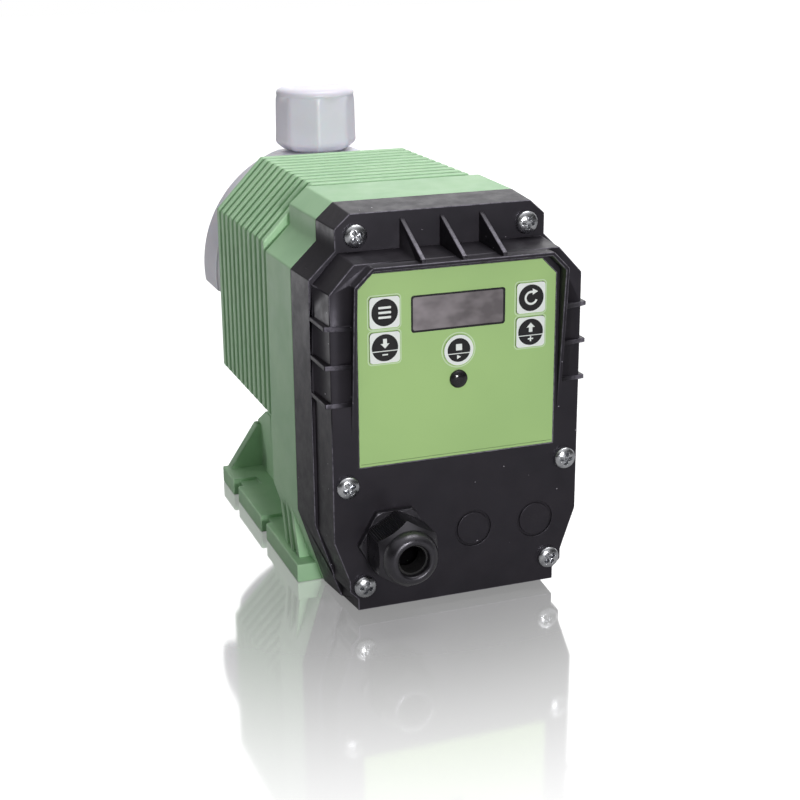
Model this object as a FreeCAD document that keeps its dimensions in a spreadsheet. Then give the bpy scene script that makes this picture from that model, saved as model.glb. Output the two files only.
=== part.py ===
import FreeCAD, Part
import math
import os

import Sketcher
from FreeCAD import Placement, Rotation, Vector

# Solenoid driven diaphragm metering pump, in millimetres.
# The origin is the centre of the foot's base. +Z is up, the operating panel faces -Y and the
# dosing head stands at +Y. "Reach" is a distance from the origin towards the panel.

SIZES = {
    # Solenoid, which sets the size of the barrel round it
    "axis_height": 112.0,
    "pot_radius": 42.0,
    "pot_length": 72.0,
    "pot_wall": 5.0,
    "pot_front": 6.0,
    "pole_plate": 6.0,
    "pole_length": 20.0,
    "nose_gap": 0.2,
    "pole_screw_inset": 12.0,
    "pole_screw_turn": 30.0,
    "pole_screw_floor": 0.8,
    "armature_radius": 14.0,
    "stroke": 1.25,
    "air_gap_spare": 0.2,
    "tube_wall": 0.9,
    "bobbin_core": 2.0,
    "bobbin_flange": 3.0,
    "bobbin_rim": 2.0,
    "coil_gap": 4.0,
    "rod_radius": 3.0,
    "rod_setback": 4.0,
    "bush_radius": 4.5,
    "bush_length": 10.0,
    "stop_length": 6.0,
    "spring_radius": 6.0,
    "spring_wire": 1.3,
    "spring_turns": 5,
    "spring_pocket": 16.0,
    "spring_room": 1.1,
    "spring_front_gap": 0.3,
    "spring_rear_gap": 0.1,
    # Barrel
    "side_room": 9.5,
    "top_room": 8.8,
    "bottom_room": 17.0,
    "barrel_wall": 4.0,
    "barrel_corner": 22.7,
    "barrel_corner_drop": 23.7,
    "rib_count": 11,
    "rib_pitch": 8.0,
    "rib_thickness": 4.2,
    "rib_depth": 4.0,
    "rear_wall": 6.4,
    "rear_bore": 40.0,
    # Outline shared by the housing's flange and the front cover
    "cover_inset": 0.4,
    "cover_drop": 0.8,
    "cover_bottom": 1.0,
    "neck_inset": 11.3,
    "neck_length": 8.9,
    "crown_inset": 7.5,
    "crown_drop": 6.7,
    "shoulder_drop": 10.9,
    "skirt_top": 37.1,
    "skirt_inset": 11.4,
    "parting_reach": 72.1,
    # Flange
    "flange_length": 36.0,
    "flange_draft": 1.0,
    "flange_wall": 4.0,
    "flange_floor": 6.0,
    "gasket_inset": 1.2,
    "gasket_width": 2.0,
    "gasket_thickness": 1.2,
    # Pedestal and foot
    "foot_length": 135.5,
    "foot_inset": 0.4,
    "foot_height": 8.5,
    "notch_length": 9.5,
    "notch_depth": 3.6,
    "notch_step": 1.4,
    "notch_run": 12.0,
    "rear_notch_place": 41.2,
    "front_notch_place": -11.0,
    "column_width": 80.0,
    "column_rise": 7.0,
    "column_draft": 2.4,
    "column_wall": 4.0,
    "column_side_wall": 6.0,
    "cell_roof": 3.0,
    "cheek_thickness": 6.0,
    "cheek_inset": 1.0,
    "cheek_height": 32.0,
    "cheek_rise": 9.0,
    "cheek_root": 8.0,
    "gusset_height": 31.0,
    "gusset_thickness": 6.0,
    "gusset_inset": 2.0,
    "web_thickness": 3.6,
    "web_pitch": 8.6,
    "web_height": 32.0,
    "web_start": 12.35,
    "web_root": 4.0,
    "web_foot_inset": 3.0,
    "web_crest_inset": 0.8,
    "root": 1.0,
    # Front cover
    "base_depth": 20.5,
    "base_draft": 4.2,
    "base_side_wall": 4.5,
    "block_depth": 18.4,
    "block_draft": 3.4,
    "block_side_wall": 4.2,
    "block_inset": 3.0,
    "block_drop": 17.0,
    "block_corner": 11.1,
    "block_corner_drop": 12.0,
    "block_knee_drop": 1.6,
    "block_waist_inset": 6.5,
    "block_waist_height": 17.0,
    "block_waist_step": 5.0,
    "block_foot_inset": 3.6,
    "block_foot_height": 8.4,
    "block_foot_rise": 1.5,
    "cover_wall": 3.0,
    "hood_reach": 7.0,
    "hood_drop": 1.4,
    "hood_height": 73.6,
    "hood_inset": 9.6,
    "hood_corner": 7.5,
    "hood_wall": 1.6,
    "hood_root": 0.5,
    "crown_web_drop": 4.7,
    "crown_web_pitch": 17.5,
    "crown_web_setback": 0.6,
    "crown_web_rise": 1.4,
    "side_web_drop": 24.6,
    "side_web_pitch": 16.0,
    "side_web_proud": 1.4,
    "side_web_setback": 1.0,
    "side_web_root": 0.8,
    "web_wall": 2.0,
    "blank_radius": 8.0,
    "blank_groove": 0.7,
    "blank_height": 33.1,
    "far_blank_inset": 20.2,
    "blank_pitch": 28.8,
    # Cover screws
    "top_screw_inset": 10.1,
    "top_screw_drop": 10.5,
    "mid_screw_inset": 7.3,
    "mid_screw_drop": 7.5,
    "low_screw_inset": 7.4,
    "low_screw_height": 14.7,
    "screw_radius": 2.5,
    "screw_head_radius": 4.8,
    "screw_head_height": 3.4,
    "screw_grip": 12.0,
    "screw_point": 1.5,
    "pilot_spare": 4.0,
    "boss_radius": 6.4,
    "fit_gap": 0.05,
    # Operating panel
    "panel_margin": 3.2,
    "panel_drop": 4.0,
    "panel_height": 80.3,
    "panel_corner": 6.4,
    "panel_thickness": 0.8,
    "panel_recess": 1.0,
    "window_width": 40.4,
    "window_depth": 14.6,
    "window_drop": 18.0,
    "pane_setback": 0.2,
    "key_width": 12.9,
    "key_corner": 2.2,
    "key_proud": 0.5,
    "key_gap": 0.3,
    "key_drop": 15.9,
    "key_spacing": 1.6,
    "key_spread": 5.35,
    "round_key_radius": 6.5,
    "round_key_drop": 4.4,
    "key_travel": 0.4,
    "key_rest_gap": 0.1,
    "stem_radius": 2.0,
    "switch_height": 2.0,
    "switch_width": 6.0,
    "lens_radius": 3.9,
    "lens_shank": 3.1,
    "lens_proud": 2.2,
    "lens_drop": 12.3,
    "lamp_radius": 2.5,
    "lamp_height": 5.0,
    "lamp_gap": 0.4,
    # Electronics
    "board_margin": 0.3,
    "board_top_margin": 1.6,
    "board_bottom_margin": 2.7,
    "board_thickness": 1.6,
    "board_setback": 9.6,
    "post_radius": 3.1,
    "post_margin": 3.4,
    "lower_post_margin": 6.0,
    "display_margin": 2.0,
    "small_screw_radius": 1.5,
    "small_screw_bite": 4.6,
    "small_screw_spare": 0.4,
    "small_head_height": 1.8,
    "small_head_inset": 0.2,
    "small_head_slope": 0.3,
    "terminal_width": 50.0,
    "terminal_height": 11.0,
    "terminal_depth": 11.0,
    "terminal_margin": 3.0,
    "transformer_width": 30.0,
    "transformer_height": 27.0,
    "transformer_depth": 20.0,
    "transformer_place": -18.0,
    "transformer_rise": 25.0,
    "capacitor_radius": 6.0,
    "capacitor_length": 18.0,
    "capacitor_place": 10.0,
    "capacitor_pitch": 14.0,
    "capacitor_rise": 32.0,
    # Cable gland
    "gland_inset": 27.1,
    "gland_height": 33.6,
    "gland_flats": 27.0,
    "gland_nut_flats": 25.4,
    "gland_base": 5.0,
    "gland_thread": 10.0,
    "gland_tail": 3.0,
    "gland_tube": 9.4,
    "gland_tube_setback": 11.0,
    "gland_reach": 25.0,
    "nut_gap": 0.4,
    "nut_shoulder": 0.9,
    "dome_length": 9.4,
    "mouth_land": 1.2,
    "mouth_lip": 2.4,
    "mouth_relief": 1.0,
    "mouth_rim": 0.4,
    "cable_bore": 5.8,
    "seal_run": 5.0,
    "seal_gap": 0.4,
    "seal_slip": 0.3,
    "locknut_thickness": 4.0,
    # Dosing head
    "plate_thickness": 8.0,
    "plate_inset": 0.6,
    "plate_bore_gap": 2.0,
    "plate_dish": 4.0,
    "plate_dish_lip": 1.4,
    "head_screw_room": 5.0,
    "head_screw_inset": 12.4,
    "head_flat_cut": 2.9,
    "head_step_drop": 8.4,
    "head_step_inset": 11.4,
    "head_depth": 32.0,
    "head_edge": 3.0,
    "head_boss": 34.0,
    "head_boss_height": 3.0,
    "head_boss_slope": 2.0,
    "diaphragm_radius": 30.0,
    "diaphragm_clamp": 2.0,
    "diaphragm_web": 1.6,
    "diaphragm_hub": 9.0,
    "diaphragm_hub_height": 2.6,
    "diaphragm_crown": 4.6,
    "diaphragm_flare": 3.0,
    "grip_thickness": 3.0,
    "grip_inset": 0.5,
    "chamber_radius": 22.0,
    "chamber_depth": 7.6,
    "chamber_rim": 3.0,
    "chamber_lip": 1.2,
    "head_screw_count": 6,
    "head_screw_head": 4.25,
    "head_screw_height": 5.0,
    "head_screw_bite": 6.0,
    "socket_radius": 2.3,
    "socket_depth": 2.5,
    "sink_depth": 6.0,
    "sink_gap": 0.5,
    "head_boss_wall": 2.0,
    "head_boss_length": 12.0,
    "valve_setback": 19.1,
    "valve_bore": 9.5,
    "valve_room": 38.0,
    "spigot_radius": 13.0,
    "spigot_length": 22.7,
    "port_radius": 3.0,
    "seat_thickness": 5.0,
    "seat_bore": 3.5,
    "ball_radius": 4.76,
    "ball_lift": 1.5,
    "ball_rest_gap": 0.15,
    "ball_top_gap": 0.2,
    "ball_side_gap": 0.4,
    "cage_ceiling": 2.5,
    "cage_port_step": 0.6,
    "seal_wire": 1.0,
    "cap_flats": 38.0,
    "cap_gap": 0.8,
    "cap_height": 30.6,
    "cap_turn": 10.0,
    "cap_corner": 3.0,
    "cap_bevel": 2.2,
    "cap_edge": 1.0,
}

TURN = math.tan(math.radians(22.5))
TINY = 1e-9

document = FreeCAD.newDocument("metering_pump")
sheet = document.addObject("Spreadsheet::Sheet", "Sizes")
for row, (alias, number) in enumerate(SIZES.items(), start=1):
    sheet.set(f"A{row}", alias.replace("_", " "))
    sheet.set(f"B{row}", str(number))
    sheet.setAlias(f"B{row}", alias)
document.recompute()


class Size:
    """A length worked out from the sheet: its number now, and the expression that keeps it so."""

    def __init__(self, value, text):
        self.value = float(value)
        self.text = text

    def __add__(self, other):
        other = as_size(other)
        return Size(self.value + other.value, f"({self.text} + {other.text})")

    def __sub__(self, other):
        other = as_size(other)
        return Size(self.value - other.value, f"({self.text} - {other.text})")

    def __mul__(self, other):
        other = as_size(other)
        return Size(self.value * other.value, f"({self.text} * {other.text})")

    def __truediv__(self, other):
        other = as_size(other)
        return Size(self.value / other.value, f"({self.text} / {other.text})")

    def __rsub__(self, other):
        return as_size(other) - self

    def __neg__(self):
        return as_size(0) - self

    __radd__ = __add__
    __rmul__ = __mul__


def as_size(number):
    """A plain number as a Size."""
    return number if isinstance(number, Size) else Size(number, repr(float(number)))


class SheetSizes:
    """The sheet's named sizes, read as dim.name."""

    def __getattr__(self, name):
        return Size(sheet.get(name), f"Sizes.{name}")


dim = SheetSizes()
sub_parts = []


# Helpers for documents, sketches and features


def bind(thing, path, size):
    """Tie one property to an expression of the sheet."""
    thing.setExpression(path, as_size(size).text)


def place(thing, across=0, along=0, up=0):
    """Put a sub-part at its place, tied to the sheet."""
    for axis, shift in zip("xyz", (across, along, up)):
        bind(thing, f"Placement.Base.{axis}", shift)


def sub_part(thing, name):
    """Name a finished object as a sub-part."""
    thing.Label = name
    sub_parts.append(thing)
    return thing


def new_body(name, across=0, along=0, up=0):
    """Start a sub-part that is made of sketches and features."""
    body = document.addObject("PartDesign::Body", name)
    place(body, across, along, up)
    return sub_part(body, name)


def new_sketch(body, name, role, across=0, up=0, out=0):
    """Attach a sketch to one of the body's own planes, shifted within it and out along its normal."""
    plane = next(item for item in body.Origin.OriginFeatures if item.Role == role)
    sketch = body.newObject("Sketcher::SketchObject", name)
    sketch.AttachmentSupport = [(plane, "")]
    sketch.MapMode = "FlatFace"
    for axis, shift in zip("xyz", (across, up, out)):
        bind(sketch, f"AttachmentOffset.Base.{axis}", shift)
    return sketch


def locate(sketch, curve, point, corner):
    """Hold one point of a sketch at its two distances from the sketch's origin."""
    for kind, axis, distance in (("DistanceX", -2, corner[0]), ("DistanceY", -1, corner[1])):
        distance = as_size(distance)
        if abs(distance.value) < TINY:
            sketch.addConstraint(Sketcher.Constraint("PointOnObject", curve, point, axis))
        else:
            held = Sketcher.Constraint(kind, -1, 1, curve, point, distance.value)
            index = sketch.addConstraint(held)
            sketch.setExpression(f"Constraints[{index}]", distance.text)


def draw_outline(sketch, corners):
    """Draw a closed outline of straight sides through the corners."""
    corners = [(as_size(first), as_size(second)) for first, second in corners]
    spots = [Vector(first.value, second.value, 0) for first, second in corners]
    start = sketch.GeometryCount
    for here, there in zip(spots, spots[1:] + spots[:1]):
        sketch.addGeometry(Part.LineSegment(here, there), False)
    for step, corner in enumerate(corners):
        following = start + (step + 1) % len(corners)
        sketch.addConstraint(Sketcher.Constraint("Coincident", start + step, 2, following, 1))
        locate(sketch, start + step, 1, corner)


def draw_circle(sketch, radius, across=0, up=0):
    """Draw a circle."""
    radius, across, up = as_size(radius), as_size(across), as_size(up)
    middle = Vector(across.value, up.value, 0)
    curve = sketch.addGeometry(Part.Circle(middle, Vector(0, 0, 1), radius.value), False)
    index = sketch.addConstraint(Sketcher.Constraint("Radius", curve, radius.value))
    sketch.setExpression(f"Constraints[{index}]", radius.text)
    locate(sketch, curve, 3, (across, up))


def draw_circles(sketch, radius, places):
    """Draw the same circle at every place."""
    for across, up in places:
        draw_circle(sketch, radius, across, up)


def box_corners(half_width, bottom, top, across=0):
    """Corners of an upright rectangle."""
    return [
        (across - half_width, bottom),
        (across + half_width, bottom),
        (across + half_width, top),
        (across - half_width, top),
    ]


def mirrored(right_side):
    """Close a right-hand side, given from its top down, with its mirror image."""
    return right_side + [(-across, up) for across, up in reversed(right_side)]


def regular(count, flats, turn=0.0):
    """Corners of a regular polygon with the given distance across its flats."""
    reach = 0.5 / math.cos(math.pi / count)
    angles = [2 * math.pi * (step + 0.5) / count + turn for step in range(count)]
    return [(flats * (reach * math.cos(a)), flats * (reach * math.sin(a))) for a in angles]


def pad(body, sketch, length, back=False, draft=None):
    """Add material from a sketch, along its normal or back from it, widening by the draft angle."""
    feature = body.newObject("PartDesign::Pad", sketch.Name + "_pad")
    feature.Profile = sketch
    feature.Refine = False
    feature.Reversed = back
    bind(feature, "Length", length)
    if draft is not None:
        bind(feature, "TaperAngle", draft)
    document.recompute()
    return feature


def pocket(body, sketch, depth, out=False):
    """Cut a sketch's shape away, against its normal or out along it, and see that it cuts."""
    before = body.Shape.Volume
    feature = body.newObject("PartDesign::Pocket", sketch.Name + "_pocket")
    feature.Profile = sketch
    feature.Refine = False
    feature.Reversed = out
    bind(feature, "Length", depth)
    document.recompute()
    if body.Shape.Volume >= before:
        raise ValueError(f"{feature.Name} cuts nothing")
    return feature


def turn(body, name, profile, upright=False, cut=False, across=0, along=0, up=0):
    """Turn a profile of (distance along, radius) points about an axis along Y, or Z if upright."""
    sketch = new_sketch(body, name, "YZ_Plane", across=along, up=up, out=across)
    draw_outline(sketch, [(radius, far) for far, radius in profile] if upright else profile)
    before = body.Shape.Volume if cut else 0
    kind = "PartDesign::Groove" if cut else "PartDesign::Revolution"
    feature = body.newObject(kind, name + "_turn")
    feature.Profile = sketch
    feature.ReferenceAxis = (sketch, ["V_Axis" if upright else "H_Axis"])
    feature.Angle = 360
    document.recompute()
    if cut and body.Shape.Volume >= before:
        raise ValueError(f"{feature.Name} cuts nothing")
    return feature


def repeat(body, feature, count, pitch, back=False):
    """Repeat a feature at a pitch along its sketch's normal, or back from it."""
    pattern = body.newObject("PartDesign::LinearPattern", feature.Name + "_row")
    pattern.Originals = [feature]
    pattern.Direction = (feature.Profile[0], ["N_Axis"])
    pattern.Reversed = back
    bind(pattern, "Length", pitch * (count - 1))
    bind(pattern, "Occurrences", count)
    body.Tip = pattern
    document.recompute()
    return pattern


def ring(body, name, start, end, outer, inner, **where):
    """Turn a plain ring or, with inner 0, a disc."""
    profile = [(start, inner), (end, inner), (end, outer), (start, outer)]
    return turn(body, name, profile, **where)


def finish_edges(body, kind, size, wanted):
    """Fillet or chamfer the edges of the body that the test picks."""
    base = body.Tip
    names = [f"Edge{n}" for n, edge in enumerate(base.Shape.Edges, start=1) if wanted(edge)]
    feature = body.newObject(f"PartDesign::{kind}", f"{base.Name}_{kind.lower()}")
    feature.Base = (base, names)
    bind(feature, "Radius" if kind == "Fillet" else "Size", size)
    document.recompute()
    return feature


def runs_along(edge, axis):
    """True for a straight edge parallel to the axis."""
    if not isinstance(edge.Curve, Part.Line):
        return False
    return abs(edge.tangentAt(edge.FirstParameter).dot(axis)) > 0.999


def lies_at(edge, axis, level):
    """True for an edge that lies wholly in the plane at this level along the axis."""
    return all(abs(v.Point.dot(axis) - level) < 0.01 for v in edge.Vertexes)


# Widths and heights that follow from the solenoid and from each other

barrel_side = dim.pot_radius + dim.side_room + dim.barrel_wall + dim.rib_depth
barrel_width = 2 * barrel_side
barrel_flat = barrel_width - 2 * dim.barrel_corner
barrel_top = dim.axis_height + dim.pot_radius + dim.top_room + dim.barrel_wall + dim.rib_depth
barrel_bottom = (
    dim.axis_height - dim.pot_radius - dim.bottom_room - dim.barrel_wall - dim.rib_depth
)

cover_width = barrel_width - 2 * dim.cover_inset
cover_top = barrel_top - dim.cover_drop
neck_width = cover_width - 2 * dim.neck_inset
crown_width = neck_width - 2 * dim.crown_inset
neck_top = cover_top - dim.crown_drop
shoulder_top = neck_top - dim.neck_length
shoulder_bottom = shoulder_top - dim.shoulder_drop
skirt_width = cover_width - 2 * dim.skirt_inset
foot_width = cover_width - 2 * dim.foot_inset

block_width = cover_width - 2 * dim.block_inset
block_top = cover_top - dim.block_drop
block_waist_width = block_width - 2 * dim.block_waist_inset
block_foot_width = block_waist_width - 2 * dim.block_foot_inset
hood_width = block_width - 2 * dim.hood_inset
hood_top = block_top - dim.hood_drop
hood_bottom = hood_top - dim.hood_height

panel_width = hood_width - 2 * dim.panel_margin
panel_top = hood_top - dim.panel_drop
panel_bottom = panel_top - dim.panel_height
window_height = panel_top - dim.window_drop
upper_key_height = panel_top - dim.key_drop
lower_key_height = upper_key_height - dim.key_width - dim.key_spacing
round_key_height = lower_key_height - dim.round_key_drop
lens_height = round_key_height - dim.lens_drop
key_column = dim.window_width / 2 + dim.key_spread + dim.key_width / 2
board_width = panel_width - 2 * dim.board_margin
board_top = panel_top - dim.board_top_margin
board_bottom = panel_bottom + dim.board_bottom_margin

gland_place = dim.gland_inset - block_width / 2
far_blank_place = block_width / 2 - dim.far_blank_inset
head_screw_ring = dim.pot_radius + dim.head_screw_room
head_radius = head_screw_ring + dim.head_screw_inset
head_flat = head_radius - dim.head_flat_cut
cap_base = head_flat + dim.cap_gap
cap_top = cap_base + dim.cap_height
spigot_height = cap_base + dim.spigot_length
valve_floor = spigot_height - dim.valve_room


# Shared outlines and stations


def necked_outline(inset=0):
    """Outline of the flange and the cover, drawn in by inset."""
    slip = TURN * as_size(inset)
    neck = neck_width / 2 - inset
    half = cover_width / 2 - inset
    return mirrored(
        [
            (crown_width / 2 - slip, cover_top - inset),
            (neck, neck_top - slip),
            (neck, shoulder_top - slip),
            (half, shoulder_bottom - slip),
            (half, dim.skirt_top + slip / 2),
            (skirt_width / 2 - inset, dim.cover_bottom + inset),
        ]
    )


def barrel_outline(inset=0):
    """Eight sided outline of the ribbed barrel, drawn in by inset."""
    slip = TURN * as_size(inset)
    return mirrored(
        [
            (barrel_flat / 2 - slip, barrel_top - inset),
            (barrel_width / 2 - inset, barrel_top - dim.barrel_corner_drop - slip),
            (barrel_width / 2 - inset, barrel_bottom + dim.barrel_corner_drop + slip),
            (barrel_flat / 2 - slip, barrel_bottom + inset),
        ]
    )


def block_outline(inset=0):
    """Outline of the cover's raised block, drawn in by inset, with its step in at the low screws."""
    slip = TURN * as_size(inset)
    half = block_width / 2 - inset
    waist = block_waist_width / 2 - inset
    foot = block_foot_width / 2 - inset
    return mirrored(
        [
            (block_width / 2 - dim.block_corner - slip, block_top - inset),
            (half, block_top - dim.block_corner_drop - slip),
            (half, dim.skirt_top - dim.block_knee_drop + slip / 2),
            (waist, dim.block_waist_height),
            (waist, dim.block_waist_height - dim.block_waist_step + slip),
            (foot, dim.block_foot_height + slip),
            (foot, dim.cover_bottom + dim.block_foot_rise + inset),
        ]
    )


ledge_reach = dim.parting_reach + dim.base_depth
face_reach = ledge_reach + dim.block_depth
hood_front = face_reach + dim.hood_reach
inner_reach = face_reach - dim.cover_wall
flange_back = dim.flange_length - dim.parting_reach
barrel_back = flange_back + dim.rib_count * dim.rib_pitch
plate_back = barrel_back + dim.plate_thickness
panel_floor = face_reach - dim.panel_recess
panel_reach = panel_floor + dim.panel_thickness
board_reach = face_reach - dim.board_setback


def on_both_sides(across, height):
    """A place to the right of the middle and its mirror image."""
    return [(across, height), (-across, height)]


# The reach of the face under the heads of the cover's screws, and the screws on that face
cover_screw_groups = [
    (
        ledge_reach,
        on_both_sides(neck_width / 2 - dim.top_screw_inset, cover_top - dim.top_screw_drop),
    ),
    (
        face_reach,
        on_both_sides(block_width / 2 - dim.mid_screw_inset, panel_bottom - dim.mid_screw_drop)
        + on_both_sides(block_waist_width / 2 - dim.low_screw_inset, dim.low_screw_height),
    ),
]
cover_screw_places = [place for _, places in cover_screw_groups for place in places]

square_keys = {
    "key_set": (-key_column, upper_key_height),
    "key_down": (-key_column, lower_key_height),
    "key_mode": (key_column, upper_key_height),
    "key_up": (key_column, lower_key_height),
}

post_place = board_width / 2 - dim.post_margin
post_places = [
    *on_both_sides(post_place, board_top - dim.post_margin),
    *on_both_sides(post_place, board_bottom + dim.lower_post_margin),
]


def on_ring(radius, count, turn=0.0):
    """Places evenly spaced on a ring, the first one turned up from the right by an angle."""
    angles = [turn + 2 * math.pi * step / count for step in range(count)]
    return [(radius * math.cos(angle), radius * math.sin(angle)) for angle in angles]


head_screw_places = on_ring(head_screw_ring, int(SIZES["head_screw_count"]))


# Housing


def make_housing():
    """One moulding: necked flange, ribbed barrel, pedestal column and notched foot."""
    body = new_body("housing")

    flange = new_sketch(body, "flange", "XZ_Plane", out=dim.parting_reach)
    draw_outline(flange, necked_outline())
    pad(body, flange, dim.flange_length, back=True, draft=dim.flange_draft)

    barrel = new_sketch(body, "barrel", "XZ_Plane", out=-flange_back)
    draw_outline(barrel, barrel_outline(dim.rib_depth))
    pad(body, barrel, dim.rib_count * dim.rib_pitch, back=True)

    add_pedestal(body)
    hollow_housing(body)
    add_screw_bosses(body)
    add_ribs(body)


def add_pedestal(body):
    """The foot with its side notches, the drafted column, its cheeks and all the webs."""
    foot = new_sketch(body, "foot", "XY_Plane")
    half_foot = foot_width / 2
    draw_outline(foot, box_corners(half_foot, -dim.foot_length / 2, dim.foot_length / 2))
    pad(body, foot, dim.foot_height)

    column = new_sketch(body, "column", "XY_Plane")
    draw_outline(column, box_corners(dim.column_width / 2, flange_back - dim.root, barrel_back))
    pad(body, column, barrel_bottom + dim.column_rise, draft=-dim.column_draft)

    cheek_inner = dim.column_width / 2 - dim.cheek_thickness - dim.cheek_inset
    crest = dim.cheek_height + dim.cheek_rise
    for start in (cheek_inner, -cheek_inner - dim.cheek_thickness):
        cheek = new_sketch(body, "cheek", "YZ_Plane", out=start)
        draw_outline(
            cheek,
            [
                (barrel_back - dim.cheek_root, 0),
                (dim.foot_length / 2, 0),
                (dim.foot_length / 2, dim.cheek_height),
                (barrel_back, crest),
                (barrel_back - dim.cheek_root, crest),
            ],
        )
        pad(body, cheek, dim.cheek_thickness)

    gusset = new_sketch(
        body, "rear_gusset", "XZ_Plane", out=dim.gusset_thickness - dim.foot_length / 2
    )
    web = new_sketch(body, "skirt_web", "XZ_Plane", out=dim.parting_reach - dim.web_start)
    base = dim.foot_height - dim.root
    for side in (-1, 1):
        draw_outline(
            gusset,
            [
                (side * cheek_inner, base),
                (side * (half_foot - dim.gusset_inset), base),
                (side * (dim.column_width / 2 + dim.root), dim.gusset_height),
                (side * cheek_inner, dim.gusset_height),
            ],
        )
        draw_outline(
            web,
            [
                (side * (skirt_width / 2 - dim.web_root), base),
                (side * (half_foot - dim.web_foot_inset), base),
                (side * (half_foot - dim.web_crest_inset), dim.web_height),
                (side * (skirt_width / 2 - dim.web_root), dim.web_height),
            ],
        )
    pad(body, gusset, dim.gusset_thickness, back=True)
    repeat(body, pad(body, web, dim.web_thickness, back=True), 3, dim.web_pitch, back=True)
    add_notches(body)


def add_notches(body):
    """Two bolt notches in each long side of the foot, each with a sunk seat for the bolt's head."""
    half_foot = foot_width / 2
    notch = new_sketch(body, "notch", "XY_Plane")
    seat = new_sketch(body, "notch_seat", "XY_Plane", out=dim.foot_height)
    for middle in (dim.rear_notch_place, dim.front_notch_place):
        front, rear = middle - dim.notch_length / 2, middle + dim.notch_length / 2
        for side in (-1, 1):
            for sketch, depth in ((notch, dim.notch_depth), (seat, dim.notch_run)):
                inner, outer = side * (half_foot - depth), side * (half_foot + dim.root)
                draw_outline(sketch, [(inner, front), (outer, front), (outer, rear), (inner, rear)])
    pocket(body, notch, dim.foot_height, out=True)
    pocket(body, seat, dim.notch_step)


def hollow_housing(body):
    """Cut the two chambers, the gasket's groove and the column's open underside."""
    chamber = new_sketch(body, "electronics_chamber", "XZ_Plane", out=dim.parting_reach)
    draw_outline(chamber, necked_outline(dim.flange_wall))
    pocket(body, chamber, dim.flange_length - dim.flange_floor)

    solenoid = new_sketch(body, "solenoid_chamber", "XZ_Plane", out=dim.parting_reach)
    draw_outline(solenoid, barrel_outline(dim.rib_depth + dim.barrel_wall))
    pocket(body, solenoid, barrel_back - dim.rear_wall + dim.parting_reach)

    groove = new_sketch(body, "gasket_groove", "XZ_Plane", out=dim.parting_reach)
    draw_gasket(groove)
    pocket(body, groove, dim.gasket_thickness)

    cells = new_sketch(body, "column_cells", "XY_Plane")
    cell_length = (barrel_back - flange_back - 4 * dim.column_wall) / 3
    for step in range(3):
        start = flange_back + dim.column_wall + step * (cell_length + dim.column_wall)
        half_cell = dim.column_width / 2 - dim.column_side_wall
        draw_outline(cells, box_corners(half_cell, start, start + cell_length))
    pocket(body, cells, barrel_bottom - dim.cell_roof, out=True)


def add_screw_bosses(body):
    """Bosses and pilot holes for the cover's and the head's screws, and the rear wall's bores."""
    loose = dim.screw_radius + dim.fit_gap
    head_places = [(across, dim.axis_height + up) for across, up in head_screw_places]
    pole_places = [(across, dim.axis_height + up) for across, up in pole_screw_places]

    start = dim.parting_reach - dim.gasket_thickness
    bosses = new_sketch(body, "cover_bosses", "XZ_Plane", out=start)
    draw_circles(bosses, dim.boss_radius, cover_screw_places)
    pad(body, bosses, start + flange_back - dim.flange_floor + dim.root, back=True)
    pilots = new_sketch(body, "cover_screw_pilots", "XZ_Plane", out=dim.parting_reach)
    draw_circles(pilots, loose, cover_screw_places)
    pocket(body, pilots, dim.screw_grip + dim.pilot_spare)

    bosses = new_sketch(body, "head_bosses", "XZ_Plane", out=dim.rear_wall - barrel_back)
    draw_circles(bosses, dim.screw_radius + dim.head_boss_wall, head_places)
    pad(body, bosses, dim.head_boss_length)
    pilots = new_sketch(body, "head_screw_pilots", "XZ_Plane", out=-barrel_back)
    draw_circles(pilots, loose, head_places)
    pocket(body, pilots, dim.rear_wall + dim.head_screw_bite + dim.pilot_spare, out=True)

    rear = new_sketch(body, "rear_bores", "XZ_Plane", out=-barrel_back)
    draw_circle(rear, dim.rear_bore / 2, 0, dim.axis_height)
    draw_circles(rear, loose, pole_places)
    pocket(body, rear, dim.rear_wall, out=True)


def add_ribs(body):
    """Cooling ribs right round the barrel, evenly spaced back to the rear wall."""
    rib = new_sketch(body, "rib", "XZ_Plane", out=dim.rib_thickness - flange_back - dim.rib_pitch)
    draw_outline(rib, barrel_outline())
    draw_outline(rib, barrel_outline(dim.rib_depth + dim.root / 2))
    repeat(
        body, pad(body, rib, dim.rib_thickness, back=True), dim.rib_count, dim.rib_pitch, back=True
    )


# Front cover and its screws


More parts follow.
